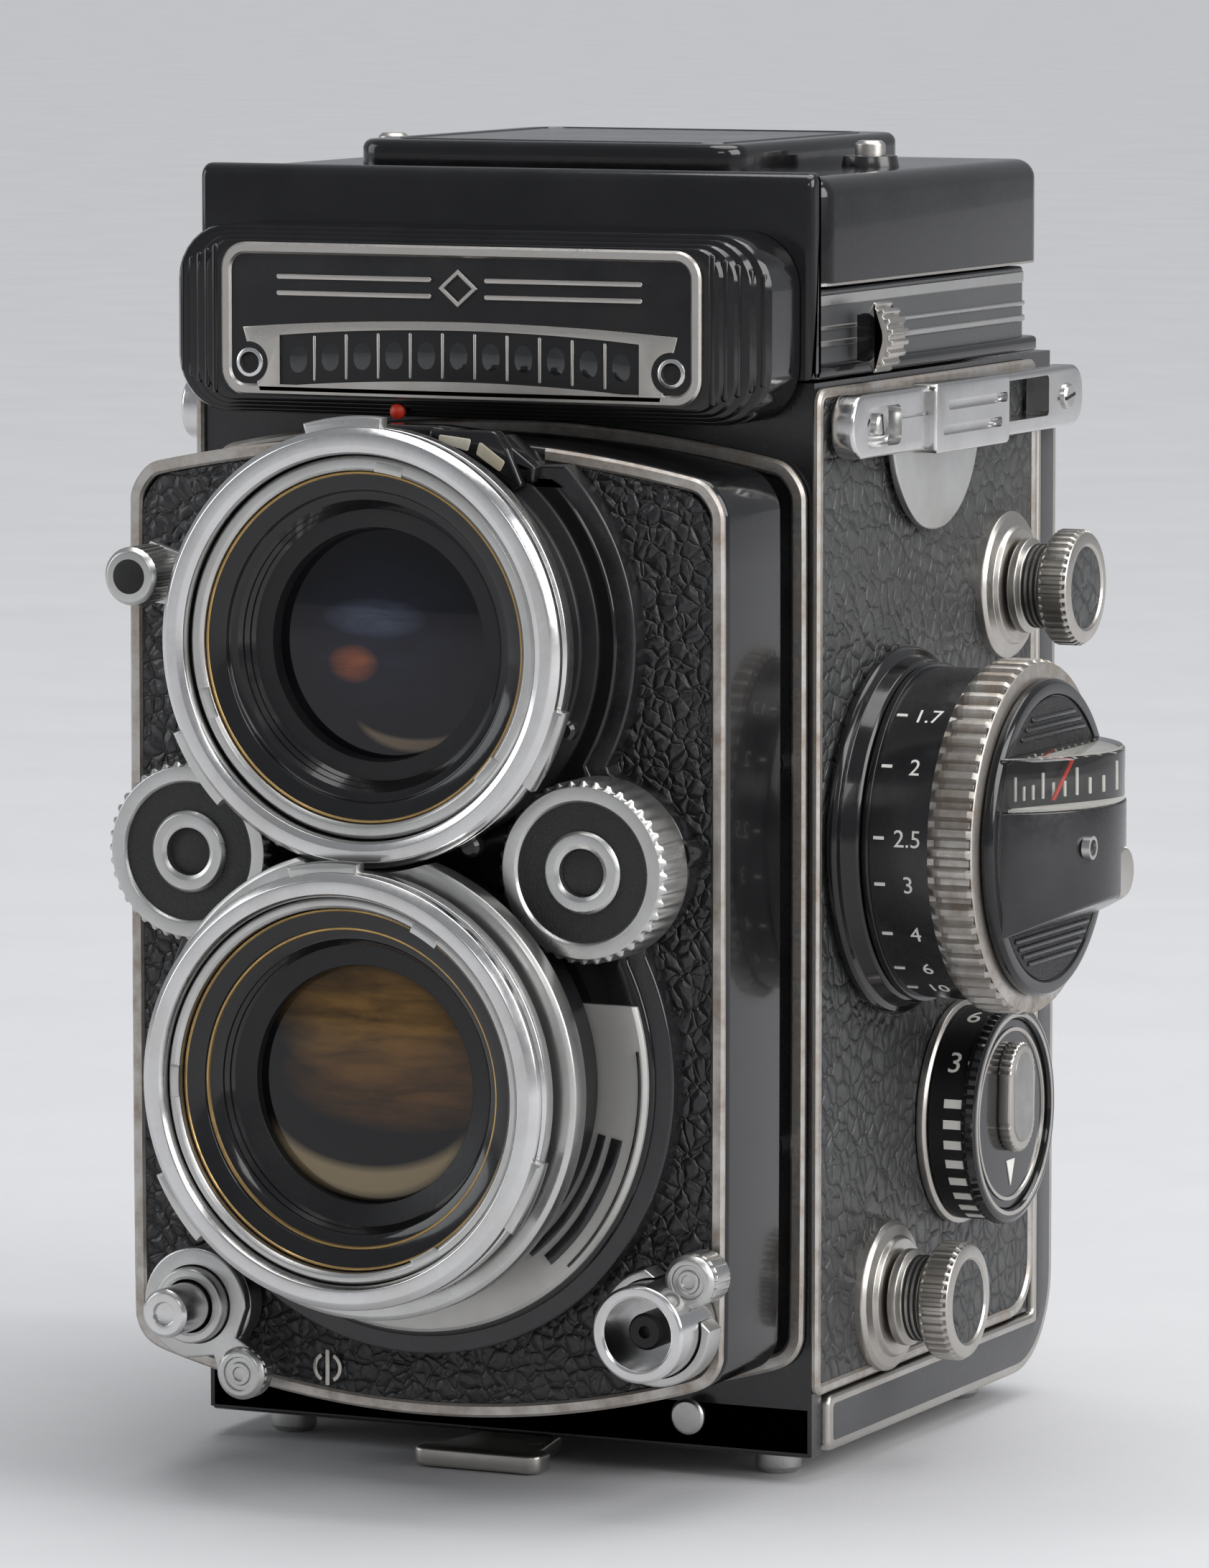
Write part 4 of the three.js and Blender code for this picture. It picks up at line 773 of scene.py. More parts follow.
def buildLevers():
    at = levers["release"]
    socket = lathe([[3.0, -21.2], [3.0, -27.4], [3.3, -27.5], [4.0, -27.5], [4.2, -27.1], [4.2, -24.4], [5.4, -24.2],
                    [5.9, -23.8], [5.9, -21.2]], at, "y", 96, (0, 0, 0.1, 0.15, 0.2, 0.2, 0.3, 0.3, 0))
    piece("release_collar", socket, mats["chromeSatin"], stand, "release_socket")
    button = lathe([[0, -32.6], [1.2, -32.6], [1.3, -33.2], [2.3, -33.2], [2.7, -32.8], [2.7, -12], [0, -12]], at, "y", 64,
                   (0, 0.1, 0.1, 0.2, 0.2, 0, 0))
    piece("release_knob", button, mats["chromeBright"], "release", "release_button")
    plate = slab(hookOutline(at, (-19.6, 9.2), 6.2, 2.9), -25.9, -24.35, 0.3, "y", steps=5)
    lock = piece("release_lock_plate", plate, mats["chromeSatin"], "release_lock", "release_lock_lever")
    cutPiece(lock, lathe([[0, -30], [4.4, -30], [4.4, -20], [0, -20]], at, "y", 64))
    tip = lathe([[0, -24.4], [2.9, -24.4], [2.9, -26.3], [2.4, -26.8], [1.9, -26.8], [1.8, -26.5], [1.3, -26.5],
                 [1.2, -26.8], [0.8, -26.8], [0.7, -26.5], [0, -26.5]], (-19.6, 9.2), "y", 120,
                (0, 0, 0.3, 0.3, 0.05, 0.05, 0.05, 0.05, 0.05, 0.05, 0), ribs=(20, 0.25, -26.2, -24.6, 2.6))
    piece("release_lock_tip", tip, mats["chromeSatin"], "release_lock")
    at = levers["flash"]
    shell = lathe([[0, -21.2], [0, -22.8], [3.9, -22.8], [3.9, -29.8], [4.2, -30], [5.0, -30], [5.3, -29.7], [5.3, -21.2]],
                  at, "y", 96, (0, 0, 0, 0.1, 0.1, 0.15, 0.15, 0))
    piece("flash_contact_shell", shell, mats["chromeBright"], stand, "flash_socket")
    core = lathe([[0, -22.7], [2.0, -22.7], [2.0, -27.6], [1.7, -28], [0.7, -28], [0.7, -27], [0, -27]], at, "y", 48)
    piece("flash_contact_core", core, mats["paintSatinBlack"], stand)
    plate = slab(hookOutline(at, (34.2, 23.1), 6.4, 2.9), -25.4, -22.0, 0.3, "y", steps=5)
    lock = piece("flash_lock_plate", plate, mats["chromeSatin"], "flash_lock", "flash_lock_lever")
    cutPiece(lock, lathe([[0, -30], [5.5, -30], [5.5, -20], [0, -20]], at, "y", 64))
    tip = lathe([[0, -22.1], [2.9, -22.1], [2.9, -26.3], [2.4, -26.8], [1.9, -26.8], [1.8, -26.5], [1.3, -26.5],
                 [1.2, -26.8], [0.8, -26.8], [0.7, -26.5], [0, -26.5]], (34.2, 23.1), "y", 120,
                (0, 0, 0.3, 0.3, 0.05, 0.05, 0.05, 0.05, 0.05, 0.05, 0), ribs=(20, 0.25, -26.2, -22.6, 2.6))
    piece("flash_lock_tip", tip, mats["chromeSatin"], "flash_lock")
    at = levers["sync"]
    lean = math.degrees(math.atan2(at[1] - 90.4, at[0]))
    arm = arcStrip((0, 90.4), 24.4, 32.0, lean - 6, lean + 6, -26, -24.8, "y", 14, 0.2)
    link = arcStrip((0, 90.4), 24.35, 25.4, lean - 32, lean + 6, -26, -24.8, "y", 30, 0.15)
    piece("sync_lever_arm", join(arm, link), mats["chromeSatin"], "sync", "sync_lever")
    grip = lathe([[0, -25], [3.2, -25], [3.2, -30.8], [2.7, -31.4], [0, -31.4]], at, "y", 168, (0, 0, 0.3, 0.3, 0),
                 ribs=(28, 0.3, -30.8, -25.2, 2.9))
    piece("sync_lever_grip", grip, mats["chromeSatin"], "sync")
    piece("sync_lever_hole", dome(at, 1.9, -31.42, 0.25, -31.0, "y", 36, 6), mats["paintMatBlack"], "sync")
    loop = softLoop([[3.3, 111.6], [9.5, 109.6], [13.2, 107], [14.4, 107.4], [12.6, 111.4], [11.0, 113.2], [3.3, 113.2]],
                    (0.3, 1.5, 0.3, 0.4, 1.0, 0.7, 0.4), 5)
    readout = slab(loop, -26, -23.7, 0.4, "y")
    piece("readout_frame", readout, mats["enamelBlack"], stand, "readout_window")
    bridge = slab(softLoop([[-15.2, 107.4], [-11, 110.2], [-3.3, 112], [3.3, 112], [11, 110.2], [15.2, 107.4], [15.4, 109.4],
                            [11, 112.6], [3.3, 113.4], [-3.3, 113.4], [-11, 112.6], [-15.4, 109.4]], 0.4, 4),
                  -25.0, -20.2, 0.4, "y")
    piece("readout_bridge", bridge, mats["enamelBlack"], stand)
    panes = [slab(softLoop([[4.6, 111.9], [8.0, 111.0], [8.4, 112.3], [4.6, 112.7]], 0.2, 3), -26.15, -25.9, 0.05, "y"),
             slab(softLoop([[9.0, 110.7], [11.8, 108.9], [12.4, 110.0], [9.4, 112.1]], 0.2, 3), -26.15, -25.9, 0.05, "y")]
    piece("readout_panes", join(*panes), mats["windowAmber"], stand)
    mark = join(*[arcStrip((-11.7, 9.6), 1.3, 1.75, a0, a0 + 124, -21.0, -20.6, "y", 16, 0.05) for a0 in (118, -62)],
                slab(box2d(-11.95, -11.45, 7.6, 11.6, 0.1, 2), -21.0, -20.6, 0.05, "y"))
    piece("flash_mark", mark, mats["nickelSatin"], stand)


meter = dict(half=35.8, z0=113.2, z1=133.9, rear=-1.3)


def buildMeterHousing():
    m = meter
    # ribbed ends: nested rounded outlines that step forward as they shrink
    insets = np.array([0.0, 0.0, 0.5, 1.2, 1.5, 2.0, 2.7, 3.0, 3.5, 4.2, 4.5, 5.0, 5.8, 6.6])
    depths = np.array([m["rear"], -8.6, -9.2, -9.3, -9.3, -10.0, -10.1, -10.1, -10.7, -10.8, -10.8, -11.3, -11.4, -11.4])
    loops = [lay(box2d(-m["half"] + i, m["half"] - i, m["z0"] + 0.32 * i, m["z1"] - 0.32 * i, max(6.2 - i * 0.6, 2.4), 9),
                 d, "y") for i, d in zip(insets, depths)]
    piece("meter_housing_body", rings(loops), mats["enamelBlack"], body, "meter_housing")
    ridges = []
    for n in range(5):
        x = 29.9 + n * 1.25
        lean = [-11.5 + n * 0.55, -10.2 + n * 0.55]
        ridge = slab(box2d(x - 0.42, x + 0.42, 115.4 + n * 0.5, 131.8 - n * 0.5, 0.4, 4), lean[0], lean[1] + 1.0, 0.35, "y")
        ridges += [ridge, mirrorX(ridge)]
    piece("meter_housing_ridges", join(*ridges), mats["enamelBlack"], body)
    frameLoop = box2d(-28.9, 28.9, 115.3, 132.1, 3, 9)
    piece("meter_frame", band(frameLoop, 1.25, -12.0, -10.8, 0.25), mats["nickelSatin"], body)
    plate = slab(box2d(-28.2, 28.2, 116, 131.4, 2.4, 8), -11.75, -11.0, 0.15, "y")
    piece("meter_front_plate", plate, mats["paintSatinBlack"], body)
    x = np.linspace(-21.6, 21.6, 40)
    low = np.stack([x, 116.4 + 1.0 * (1 - (x / 22) ** 2)], 1)
    high = np.stack([x[::-1], 121.9 + 1.0 * (1 - (x[::-1] / 22) ** 2)], 1)
    cellLoop = tidyLoop(np.concatenate([low, high]))
    wide = np.linspace(-26.2, 26.2, 40)
    plateTop = np.stack([wide[::-1], 123.0 + 0.9 * (1 - (wide[::-1] / 24) ** 2)], 1)
    plateLoop = tidyLoop(np.concatenate([[[-24.2, 115.7], [24.2, 115.7]], plateTop]))
    cellPlate = piece("meter_cell_frame", slab(plateLoop, -12.0, -11.3, 0.15, "y"), mats["nickelSatin"], body)
    cutPiece(cellPlate, slab(offsetLoop(cellLoop, 0.05), -13, -10, 0.01, "y"),
             *[lathe([[0, -13], [2.3, -13], [2.3, -10], [0, -10]], (x, 118.9), "y", 40) for x in (-25.4, 25.4)])
    # row of bubble lenses: one grid whose height repeats in both directions
    nu, nv = 265, 33
    u, v = np.meshgrid(np.linspace(0, 1, nu), np.linspace(0, 1, nv), indexing="ij")
    px = -21.4 + 42.8 * u
    lowZ, highZ = 116.5 + 1.0 * (1 - (px / 22) ** 2), 121.8 + 1.0 * (1 - (px / 22) ** 2)
    pz = lowZ + (highZ - lowZ) * v
    cu, cv = (u * 11) % 1 - 0.5, (v * 1.0) % 1 - 0.5
    swell = np.sqrt(np.clip(1 - 3.6 * cu ** 2, 0, 1)) * np.sqrt(np.clip(1 - 3.4 * cv ** 2, 0, 1))
    front = np.stack([px, -11.15 - 0.7 * swell, pz], -1).reshape(-1, 3)
    backRow = np.stack([px, np.full_like(px, -10.6), pz], -1).reshape(-1, 3)
    i, j = np.meshgrid(np.arange(nu - 1), np.arange(nv - 1), indexing="ij")
    quad = np.stack([i * nv + j, (i + 1) * nv + j, (i + 1) * nv + j + 1, i * nv + j + 1], -1).reshape(-1, 4)
    n = nu * nv
    edge = np.concatenate([np.arange(nu) * nv, (nu - 1) * nv + np.arange(1, nv), (np.arange(nu - 1)[::-1]) * nv + nv - 1,
                           np.arange(1, nv - 1)[::-1]])
    nextEdge = np.roll(edge, -1)
    skirt = np.stack([edge, nextEdge, nextEdge + n, edge + n], -1)
    faces = quad.tolist() + skirt.tolist() + [[int(k) + n for k in edge]]
    piece("meter_cell_lenses", (np.concatenate([front, backRow]), faces), mats["meterCell"], body, "meter_cell_window", 60)
    # bright bars between the lenses, one at each twelfth of the row
    bars = []
    for x in np.linspace(-21.4, 21.4, 12)[1:-1]:
        foot = 116.6 + 1.0 * (1 - (x / 22) ** 2)
        bars.append(slab(box2d(x - 0.2, x + 0.2, foot, foot + 5.1, 0.15, 2), -11.8, -11.2, 0.14, "y"))
    piece("meter_cell_bars", join(*bars), mats["nickelSatin"], body)
    heads, slots = [], []
    for x in (-25.4, 25.4):
        head, slot = screw((x, 118.9), 1.1, -11.6, -11.8, "y", 35 if x > 0 else 70)
        heads.append(head)
        slots.append(slot)
    rims = [lathe([[0.9, -11.4], [0.9, -11.7], [1.2, -12.0], [1.6, -11.9], [1.8, -11.4]], (x, 118.9), "y", 40, 0.08)
            for x in (-25.4, 25.4)]
    piece("meter_screws", join(*heads), mats["paintMatBlack"], body)
    piece("meter_screw_rims", join(*rims), mats["chromeBright"], body)
    # two slim rules and a lozenge where a name would stand
    rules = [slab(box2d(x0, x1, z - 0.28, z + 0.28, 0.25, 4), -12.0, -11.7, 0.08, "y")
             for x0, x1 in ((-22, -3.2), (3.2, 22)) for z in (126.6, 128.4)]
    lozenge = band(np.array([[-2.4, 127.5], [0, 125.4], [2.4, 127.5], [0, 129.6]]), 0.5, -12.0, -11.7, 0.1)
    piece("meter_plaque_rules", join(*rules, lozenge), mats["nickelSatin"], body)
    dot = dome((-7.8, 113.9), 0.85, -12.0 + 0.9, 0.4, -10.6, "y", 24, 6)
    piece("meter_red_dot", dot, mats["paintRed"], body)


hood = dict(half=37.2, front=-1.0, rear=1.6, low=117.8, high=140.2)


def buildHood():
    h = hood
    bandLoop = softLoop([[h["front"], h["low"]], [h["rear"], h["low"]], [h["rear"], h["high"]], [h["front"], h["high"]]],
                        (0.2, 0.2, 0.3, 1.6), 8)
    frontBand = slab(bandLoop, -h["half"], h["half"], 0.9, "x", steps=6)
    piece("hood_front_band", frontBand, mats["enamelBlack"], body, "hood_base")
    flange = slab(box2d(-37.2, 37.2, -0.8, 65, 2.2, 8), 117.8, 119.4, 0.35, "z", edgeHigh=0.5)
    flangePiece = piece("hood_flange", flange, mats["enamelBlack"], body)
    cutPiece(flangePiece, slab(box2d(-32, 32, 4, 58, 1), 117, 121, 0.01, "z"))
    loop = box2d(-36.4, 36.4, 0, 62.6, 2.2, 8)
    walls = band(loop, 1.4, 119.2, 127.4, 0.2, "z")
    piece("hood_walls", walls, mats["hoodGrey"], body)
    lines = [band(offsetLoop(tidyLoop(loop), g), 0.9, z, z + t, 0.12, "z") for g, z, t in
             ((0.3, 121.2, 0.7), (0.3, 123.0, 0.5), (0.15, 125.6, 1.3))]
    piece("hood_leaf_edges", join(*lines), mats["chromeSatin"], body)
    rear = slab(box2d(-34, 34, 127, 130.4, 0.3), 61.2, 62.6, 0.2, "y")
    piece("hood_rear_wall", rear, mats["hoodGrey"], body)


lidLook = dict(y0=1.9, y1=65.0, z0=127.8, top=140.5, half=37.2)


def buildLid():
    d = lidLook
    # the section across x: straight skirt, soft shoulder, slightly crowned top; carried round the plan outline
    plan = box2d(-d["half"], d["half"], d["y0"], d["y1"], 3.2, 9)
    a = np.linspace(0, math.pi / 2, 7)
    shoulder = 2.2
    loops = [lay(offsetLoop(plan, -1.0), d["top"] - 2.0, "z"), lay(offsetLoop(plan, -1.0), d["z0"] + 0.3, "z"),
             lay(offsetLoop(plan, -0.5), d["z0"], "z"), lay(plan, d["z0"] + 0.4, "z")]
    loops += [lay(offsetLoop(plan, -shoulder * (1 - math.cos(k))),
                  d["top"] - 0.9 - shoulder * (1 - math.sin(k)), "z") for k in a]
    loops += [lay(box2d(-d["half"] + i, d["half"] - i, d["y0"] + i, d["y1"] - i, 1.5, 9), d["top"] - drop, "z")
              for i, drop in ((2.7, 0.88), (6, 0.8), (12, 0.7))]
    lidPiece = piece("hood_lid_shell", rings(loops), mats["enamelBlack"], "lid", "hood_lid")
    cutPiece(lidPiece, slab(box2d(-36.2, 36.2, 0.5, 5), 126, 138.5, 0.01, "z"))  # open front lets the leaves past
    # raised panel: wall, quarter-round edge, then two flat rings that keep the top's shading level
    insets = np.concatenate([[0, 0], 1.1 * (1 - np.cos(a)), [1.6, 5.0]])
    heights = np.concatenate([[d["top"] - 1, 141.0], 141.6 + 1.1 * np.sin(a), [142.7, 142.7]])
    raised = [lay(box2d(-23.4 + i, 23.4 - i, 9.6 + i, 57 - i, max(3.4 - i, 1.0), 10), z, "z")
              for i, z in zip(insets, heights)]
    piece("hood_lid_panel", rings(raised), mats["enamelBlack"], "lid")
    bead = band(box2d(-20.2, 20.2, 12.8, 53.8, 2.6, 9), 0.9, 142.4, 142.8, 0.18, "z")
    piece("hood_lid_bead", bead, mats["enamelWorn"], "lid")
    # bright line round the foot of the lid, stood off the shell
    foot = band(offsetLoop(plan, 0.0), 0.3, d["z0"] - 0.02, d["z0"] + 0.35, 0.08, "z")
    footPiece = piece("hood_lid_foot", foot, mats["nickelSatin"], "lid")
    cutPiece(footPiece, slab(box2d(-36.2, 36.2, 0.5, 5), 126, 130, 0.01, "z"))
    pins = [lathe([[0, 139], [1.7, 139], [1.7, 142.2], [1.3, 142.6], [0, 142.6]], (x, 32.5), "z", 40, (0, 0, 0.2, 0.3, 0))
            for x in (-29.6, 29.6)]
    piece("hood_lid_pins", join(*pins), mats["nickelSatin"], "lid")
    collars = [lathe([[1.75, 139.4], [1.75, 140.8], [2.2, 141], [3.0, 140.9], [3.3, 139.4]], (x, 32.5), "z", 40, 0.1)
               for x in (-29.6, 29.6)]
    piece("hood_lid_collars", join(*collars), mats["enamelWorn"], "lid")


def buildCatches():
    for side, rider, node in ((1, "right_catch", "right_hood_catch"), (-1, "left_catch", "left_hood_catch")):
        a = np.radians(np.linspace(-62, 62, 121))
        reach = 4.35 - 0.45 * np.clip(0.5 + 1.2 * np.cos(a * 21), 0, 1)
        loop = np.concatenate([np.stack([37.6 + reach * np.cos(a), 122 + reach * np.sin(a)], 1),
                               np.stack([37.6 + 3.0 * np.cos(a[::-1]), 122 + 3.0 * np.sin(a[::-1])], 1)])
        rim = slab(loop, 10.0, 14.6, 0.12, "y")
        b = np.radians(np.linspace(-88, 88, 60))  # the disc narrows towards its ends, clear of the flange
        reach = 3.1 - 0.62 * np.clip((np.abs(b) - 1.0) / 0.5, 0, 1)
        fan = slab(np.stack([37.5 + reach * np.cos(b), 122 + reach * np.sin(b)], 1), 10.2, 14.4, 0.12, "y")
        name = "hood_catch_right" if side > 0 else "hood_catch_left"
        piece(name + "_rim", rim if side > 0 else mirrorX(rim), mats["nickelSatin"], rider, node)
        piece(name + "_disc", fan if side > 0 else mirrorX(fan), mats["enamelBlack"], rider)


def buildLugs():
    bar = slab(box2d(1.5, 68.3, 109.1, 116.1, 3, 10), 38.2, 41.0, 0.45, "x", steps=6)
    cover = slab(box2d(22.5, 44, 108.5, 116.3, 0.9, 6), 38.6, 41.9, 0.35, "x", steps=5)
    a = np.linspace(math.pi, turn, 40)
    tongue = slab(np.stack([29.4 + 12.5 * np.cos(a), 112.2 + 12.5 * np.sin(a)], 1), 38.2, 39.1, 0.2, "x")
    windows = [slab(box2d(5.3, 14.8, 110.2, 114.6, 1.1, 6), 39.4, 43, 0.01, "x"),
               slab(box2d(44.2, 57.8, 110.7, 115.3, 0.6, 5), 37, 43, 0.01, "x"),
               slab(box2d(14.9, 22.4, 112.9, 113.3, 0.15, 3), 40.6, 43, 0.01, "x")]
    slits = [slab(box2d(y0, y1, z, z + 1.1, 0.5, 5), 41.1, 43, 0.01, "x")
             for y0, y1, z in ((24.5, 41.6, 110.5), (26.0, 43.2, 113.2))]
    heads, slots = [], []
    for y, z, r, high, spin in ((7.4, 112.4, 1.25, 40.0, 40), (11.9, 112.4, 1.25, 40.0, 100), (63.2, 112.6, 1.5, 41.5, 10)):
        head, slot = screw((y, z), r, 39.2, high, "x", spin)
        heads.append(head)
        slots.append(slot)
    for side in (1, -1):
        flip = (lambda part: part) if side > 0 else mirrorX
        word = "right" if side > 0 else "left"
        barPiece = piece("strap_lug_bar_" + word, flip(bar), mats["chromeBright"], body, word + "_strap_lug")
        cutPiece(barPiece, *[flip(w) for w in windows])
        coverPiece = piece("strap_lug_slide_" + word, flip(cover), mats["chromeBright"], body)
        cutPiece(coverPiece, *[flip(s) for s in slits])
        piece("strap_lug_tongue_" + word, flip(tongue), mats["chromeSatin"], body)
        piece("strap_lug_screws_" + word, flip(join(*heads)), mats["chromeSatin"], body)
        piece("strap_lug_screw_slots_" + word, flip(join(*slots)), mats["paintMatBlack"], body)


focusKnob = dict(at=(20.9, 66.9), numerals=("1.7", "2", "2.5", "3", "4", "6", "10"),
                 angles=(130, 151, 176, 192, 211, 228, 242), flutes=56)


def buildFocus():
    at = focusKnob["at"]
    flange = lathe([[6.3, 38.1], [20.0, 38.1], [20.4, 38.5], [20.4, 39.0], [20.1, 39.4], [19.4, 39.6], [19.0, 41.2],
                    [18.6, 41.5], [6.3, 41.5]], at, "x", 160, (0, 0.2, 0.2, 0.2, 0.2, 0.2, 0.3, 0.2, 0))
    piece("focus_flange_ring", flange, mats["enamelBlack"], body, "focus_flange")
    drum = lathe([[4.2, 35], [6.1, 35], [6.1, 41.8], [18.1, 41.8], [18.3, 42.0], [18.3, 49.4], [4.2, 49.4]], at, "x", 160)
    piece("focus_drum", drum, mats["enamelWorn"], "focus", "focus_knob")
    edgeRing = lathe([[18.0, 41.75], [18.75, 41.75], [18.75, 42.5], [18.0, 42.5]], at, "x", 160, 0.1)
    piece("focus_drum_edge", edgeRing, mats["enamelBlack"], "focus")
    # numerals and ticks wrap the drum; zero angle points to the rear
    parts = []
    ticks = []
    for text, angle in zip(focusKnob["numerals"], focusKnob["angles"]):
        parts.append(letteringOnDrum(text, 2.7, at, 18.28, 46.9, math.radians(angle)))
        ticks.append(tickOnDrum(at, 18.42, 43.0, 44.2, angle, 0.35))
    piece("focus_numerals", join(*parts), mats["paintWhite"], "focus", (), 20)
    piece("focus_ticks", join(*ticks), mats["paintWhite"], "focus")
    ring = lathe([[15.3, 49.4], [18.6, 49.4], [19.5, 50.3], [19.6, 51], [19.6, 54.3], [19.2, 54.9], [17.9, 55.0],
                  [15.3, 55.0]], at, "x", 512, (0, 0.2, 0.4, 0.3, 0.3, 0.3, 0.2, 0),
                 ribs=(focusKnob["flutes"], 0.8, 50.2, 54.5, 18.9))
    piece("focus_grip_ring", ring, mats["nickelRusted"], "focus")


def tickOnDrum(centre, radius, x0, x1, angleDeg, width):
    # short bar lying across the drum at an angle, a patch of the cylinder lifted slightly
    half = width / radius / 2
    a = math.radians(angleDeg) + np.array([-half, half, half, -half])
    x = np.array([x0, x0, x1, x1])
    lowR, highR = radius - 0.3, radius
    loops = [np.stack([x, centre[0] + r * np.cos(a), centre[1] + r * np.sin(a)], 1) for r in (lowR, highR)]
    return rings(loops)


moon = dict(y=20.3, chord=28.0, sagitta=8.0, base=56.3, low=58.0, split=71.0, top=77.0)


def moonOutline(shrink=0.0):
    chord, sag = moon["chord"] - shrink * 2, moon["sagitta"] - shrink
    r = (chord * chord / 4 + sag * sag) / (2 * sag)
    spread = math.asin(chord / 2 / r)
    a = np.linspace(-spread, spread, 40)
    arc = np.stack([moon["base"] + sag - r + r * np.cos(a), moon["y"] + r * np.sin(a)], 1)
    return tidyLoop(np.concatenate([[[moon["base"] - 0.3, moon["y"] - chord / 2]], arc,
                                    [[moon["base"] - 0.3, moon["y"] + chord / 2]]]))


def buildMeterHead():
    at = focusKnob["at"]
    cap = lathe([[0, 35.2], [4, 35.2], [4, 50], [14.8, 50], [14.8, 55.2], [17.3, 55.2], [17.5, 55.4], [17.5, 56.1],
                 [17.1, 56.55], [15.9, 56.6], [15.7, 56.3], [0, 56.3]], at, "x", 144,
                (0, 0, 0, 0, 0, 0.1, 0.1, 0.2, 0.2, 0.15, 0.1, 0))
    piece("meter_head_cap", cap, mats["enamelBlack"], body, "meter_head")
    disc = lathe([[0, 56.0], [15.6, 56.0], [15.6, 56.42], [15.4, 56.5], [0, 56.5]], at, "x", 128, 0.08)
    piece("meter_head_hatching", disc, mats["hatchedBlack"], body)
    # straight ridges across the cap above and below the block; half length = root of radius^2 - height^2
    ridges = []
    for z in np.concatenate([np.arange(-13.2, -7.0, 0.95), np.arange(11.6, 14.4, 0.95)]):
        reach = math.sqrt(14.9 ** 2 - z ** 2)
        ridges.append(slab(box2d(at[0] - reach, at[0] + reach, at[1] + z - 0.26, at[1] + z + 0.26, 0.2, 3), 56.3, 56.78,
                           0.18, "x"))
    piece("meter_head_ridges", join(*ridges), mats["enamelWorn"], body)
    loop = moonOutline()
    points, faces = slab(loop, moon["low"], moon["split"], 0.5, "z", edgeHigh=0.15, steps=5)
    # the underside slopes down towards the cap
    low = points[:, 2] < moon["low"] + 0.6
    points[low, 2] += (points[low, 0] - moon["base"] - 2) * 0.45
    piece("meter_head_block", (points, faces), mats["enamelWorn"], body)
    pane = slab(moonOutline(0.15), moon["split"] + 0.05, moon["top"], 0.15, "z", edgeHigh=0.5, steps=5)
    piece("meter_head_window", pane, mats["glassSmoked"], body, "meter_window")
    floor = slab(offsetLoop(moonOutline(1.2), -0.2), moon["split"] + 0.1, moon["split"] + 0.5, 0.1, "z")
    piece("meter_scale_floor", floor, mats["paintWhite"], body)
    tray = slab(box2d(7.2, 33.4, 71.4, 76.4, 0.6, 4), 56.35, 56.8, 0.1, "x")
    piece("meter_scale_back", tray, mats["paintSatinBlack"], body)
    ticks = [slab(box2d(20.3 + k * 1.9 - 0.18, 20.3 + k * 1.9 + 0.18, 72.2, 72.2 + (2.6 if k % 3 == 0 else 1.5), 0.05, 2),
                  56.75, 56.95, 0.02, "x") for k in range(-6, 7)]
    piece("meter_scale_ticks", join(*ticks), mats["paintWhite"], body)
    needle = slab(np.array([[15.5, 72.0], [16.1, 72.0], [19.4, 75.8], [19.1, 76.0]]), 57.2, 57.4, 0.02, "x")
    piece("meter_needle", needle, mats["paintRed"], body)
    wheel = lathe([[0, 60], [3, 60], [3, 63.7], [2.6, 64.2], [0, 64.2]], (23.4, 63.2), "x", 168, (0, 0, 0.2, 0.25, 0),
                  ribs=(28, 0.22, 60.2, 63.8, 2.8))
    piece("meter_zero_wheel", wheel, mats["nickelSatin"], body)
    hole = lathe([[0, 63.3], [0.9, 63.3], [0.9, 63.9], [1.3, 63.9], [1.3, 63.0], [0, 63.0]], (14.6, 66.8), "x", 36)
    piece("meter_head_rivet", hole, mats["chromeSatin"], body)


reminder = dict(at=(39.8, 33.0), r=12.2)


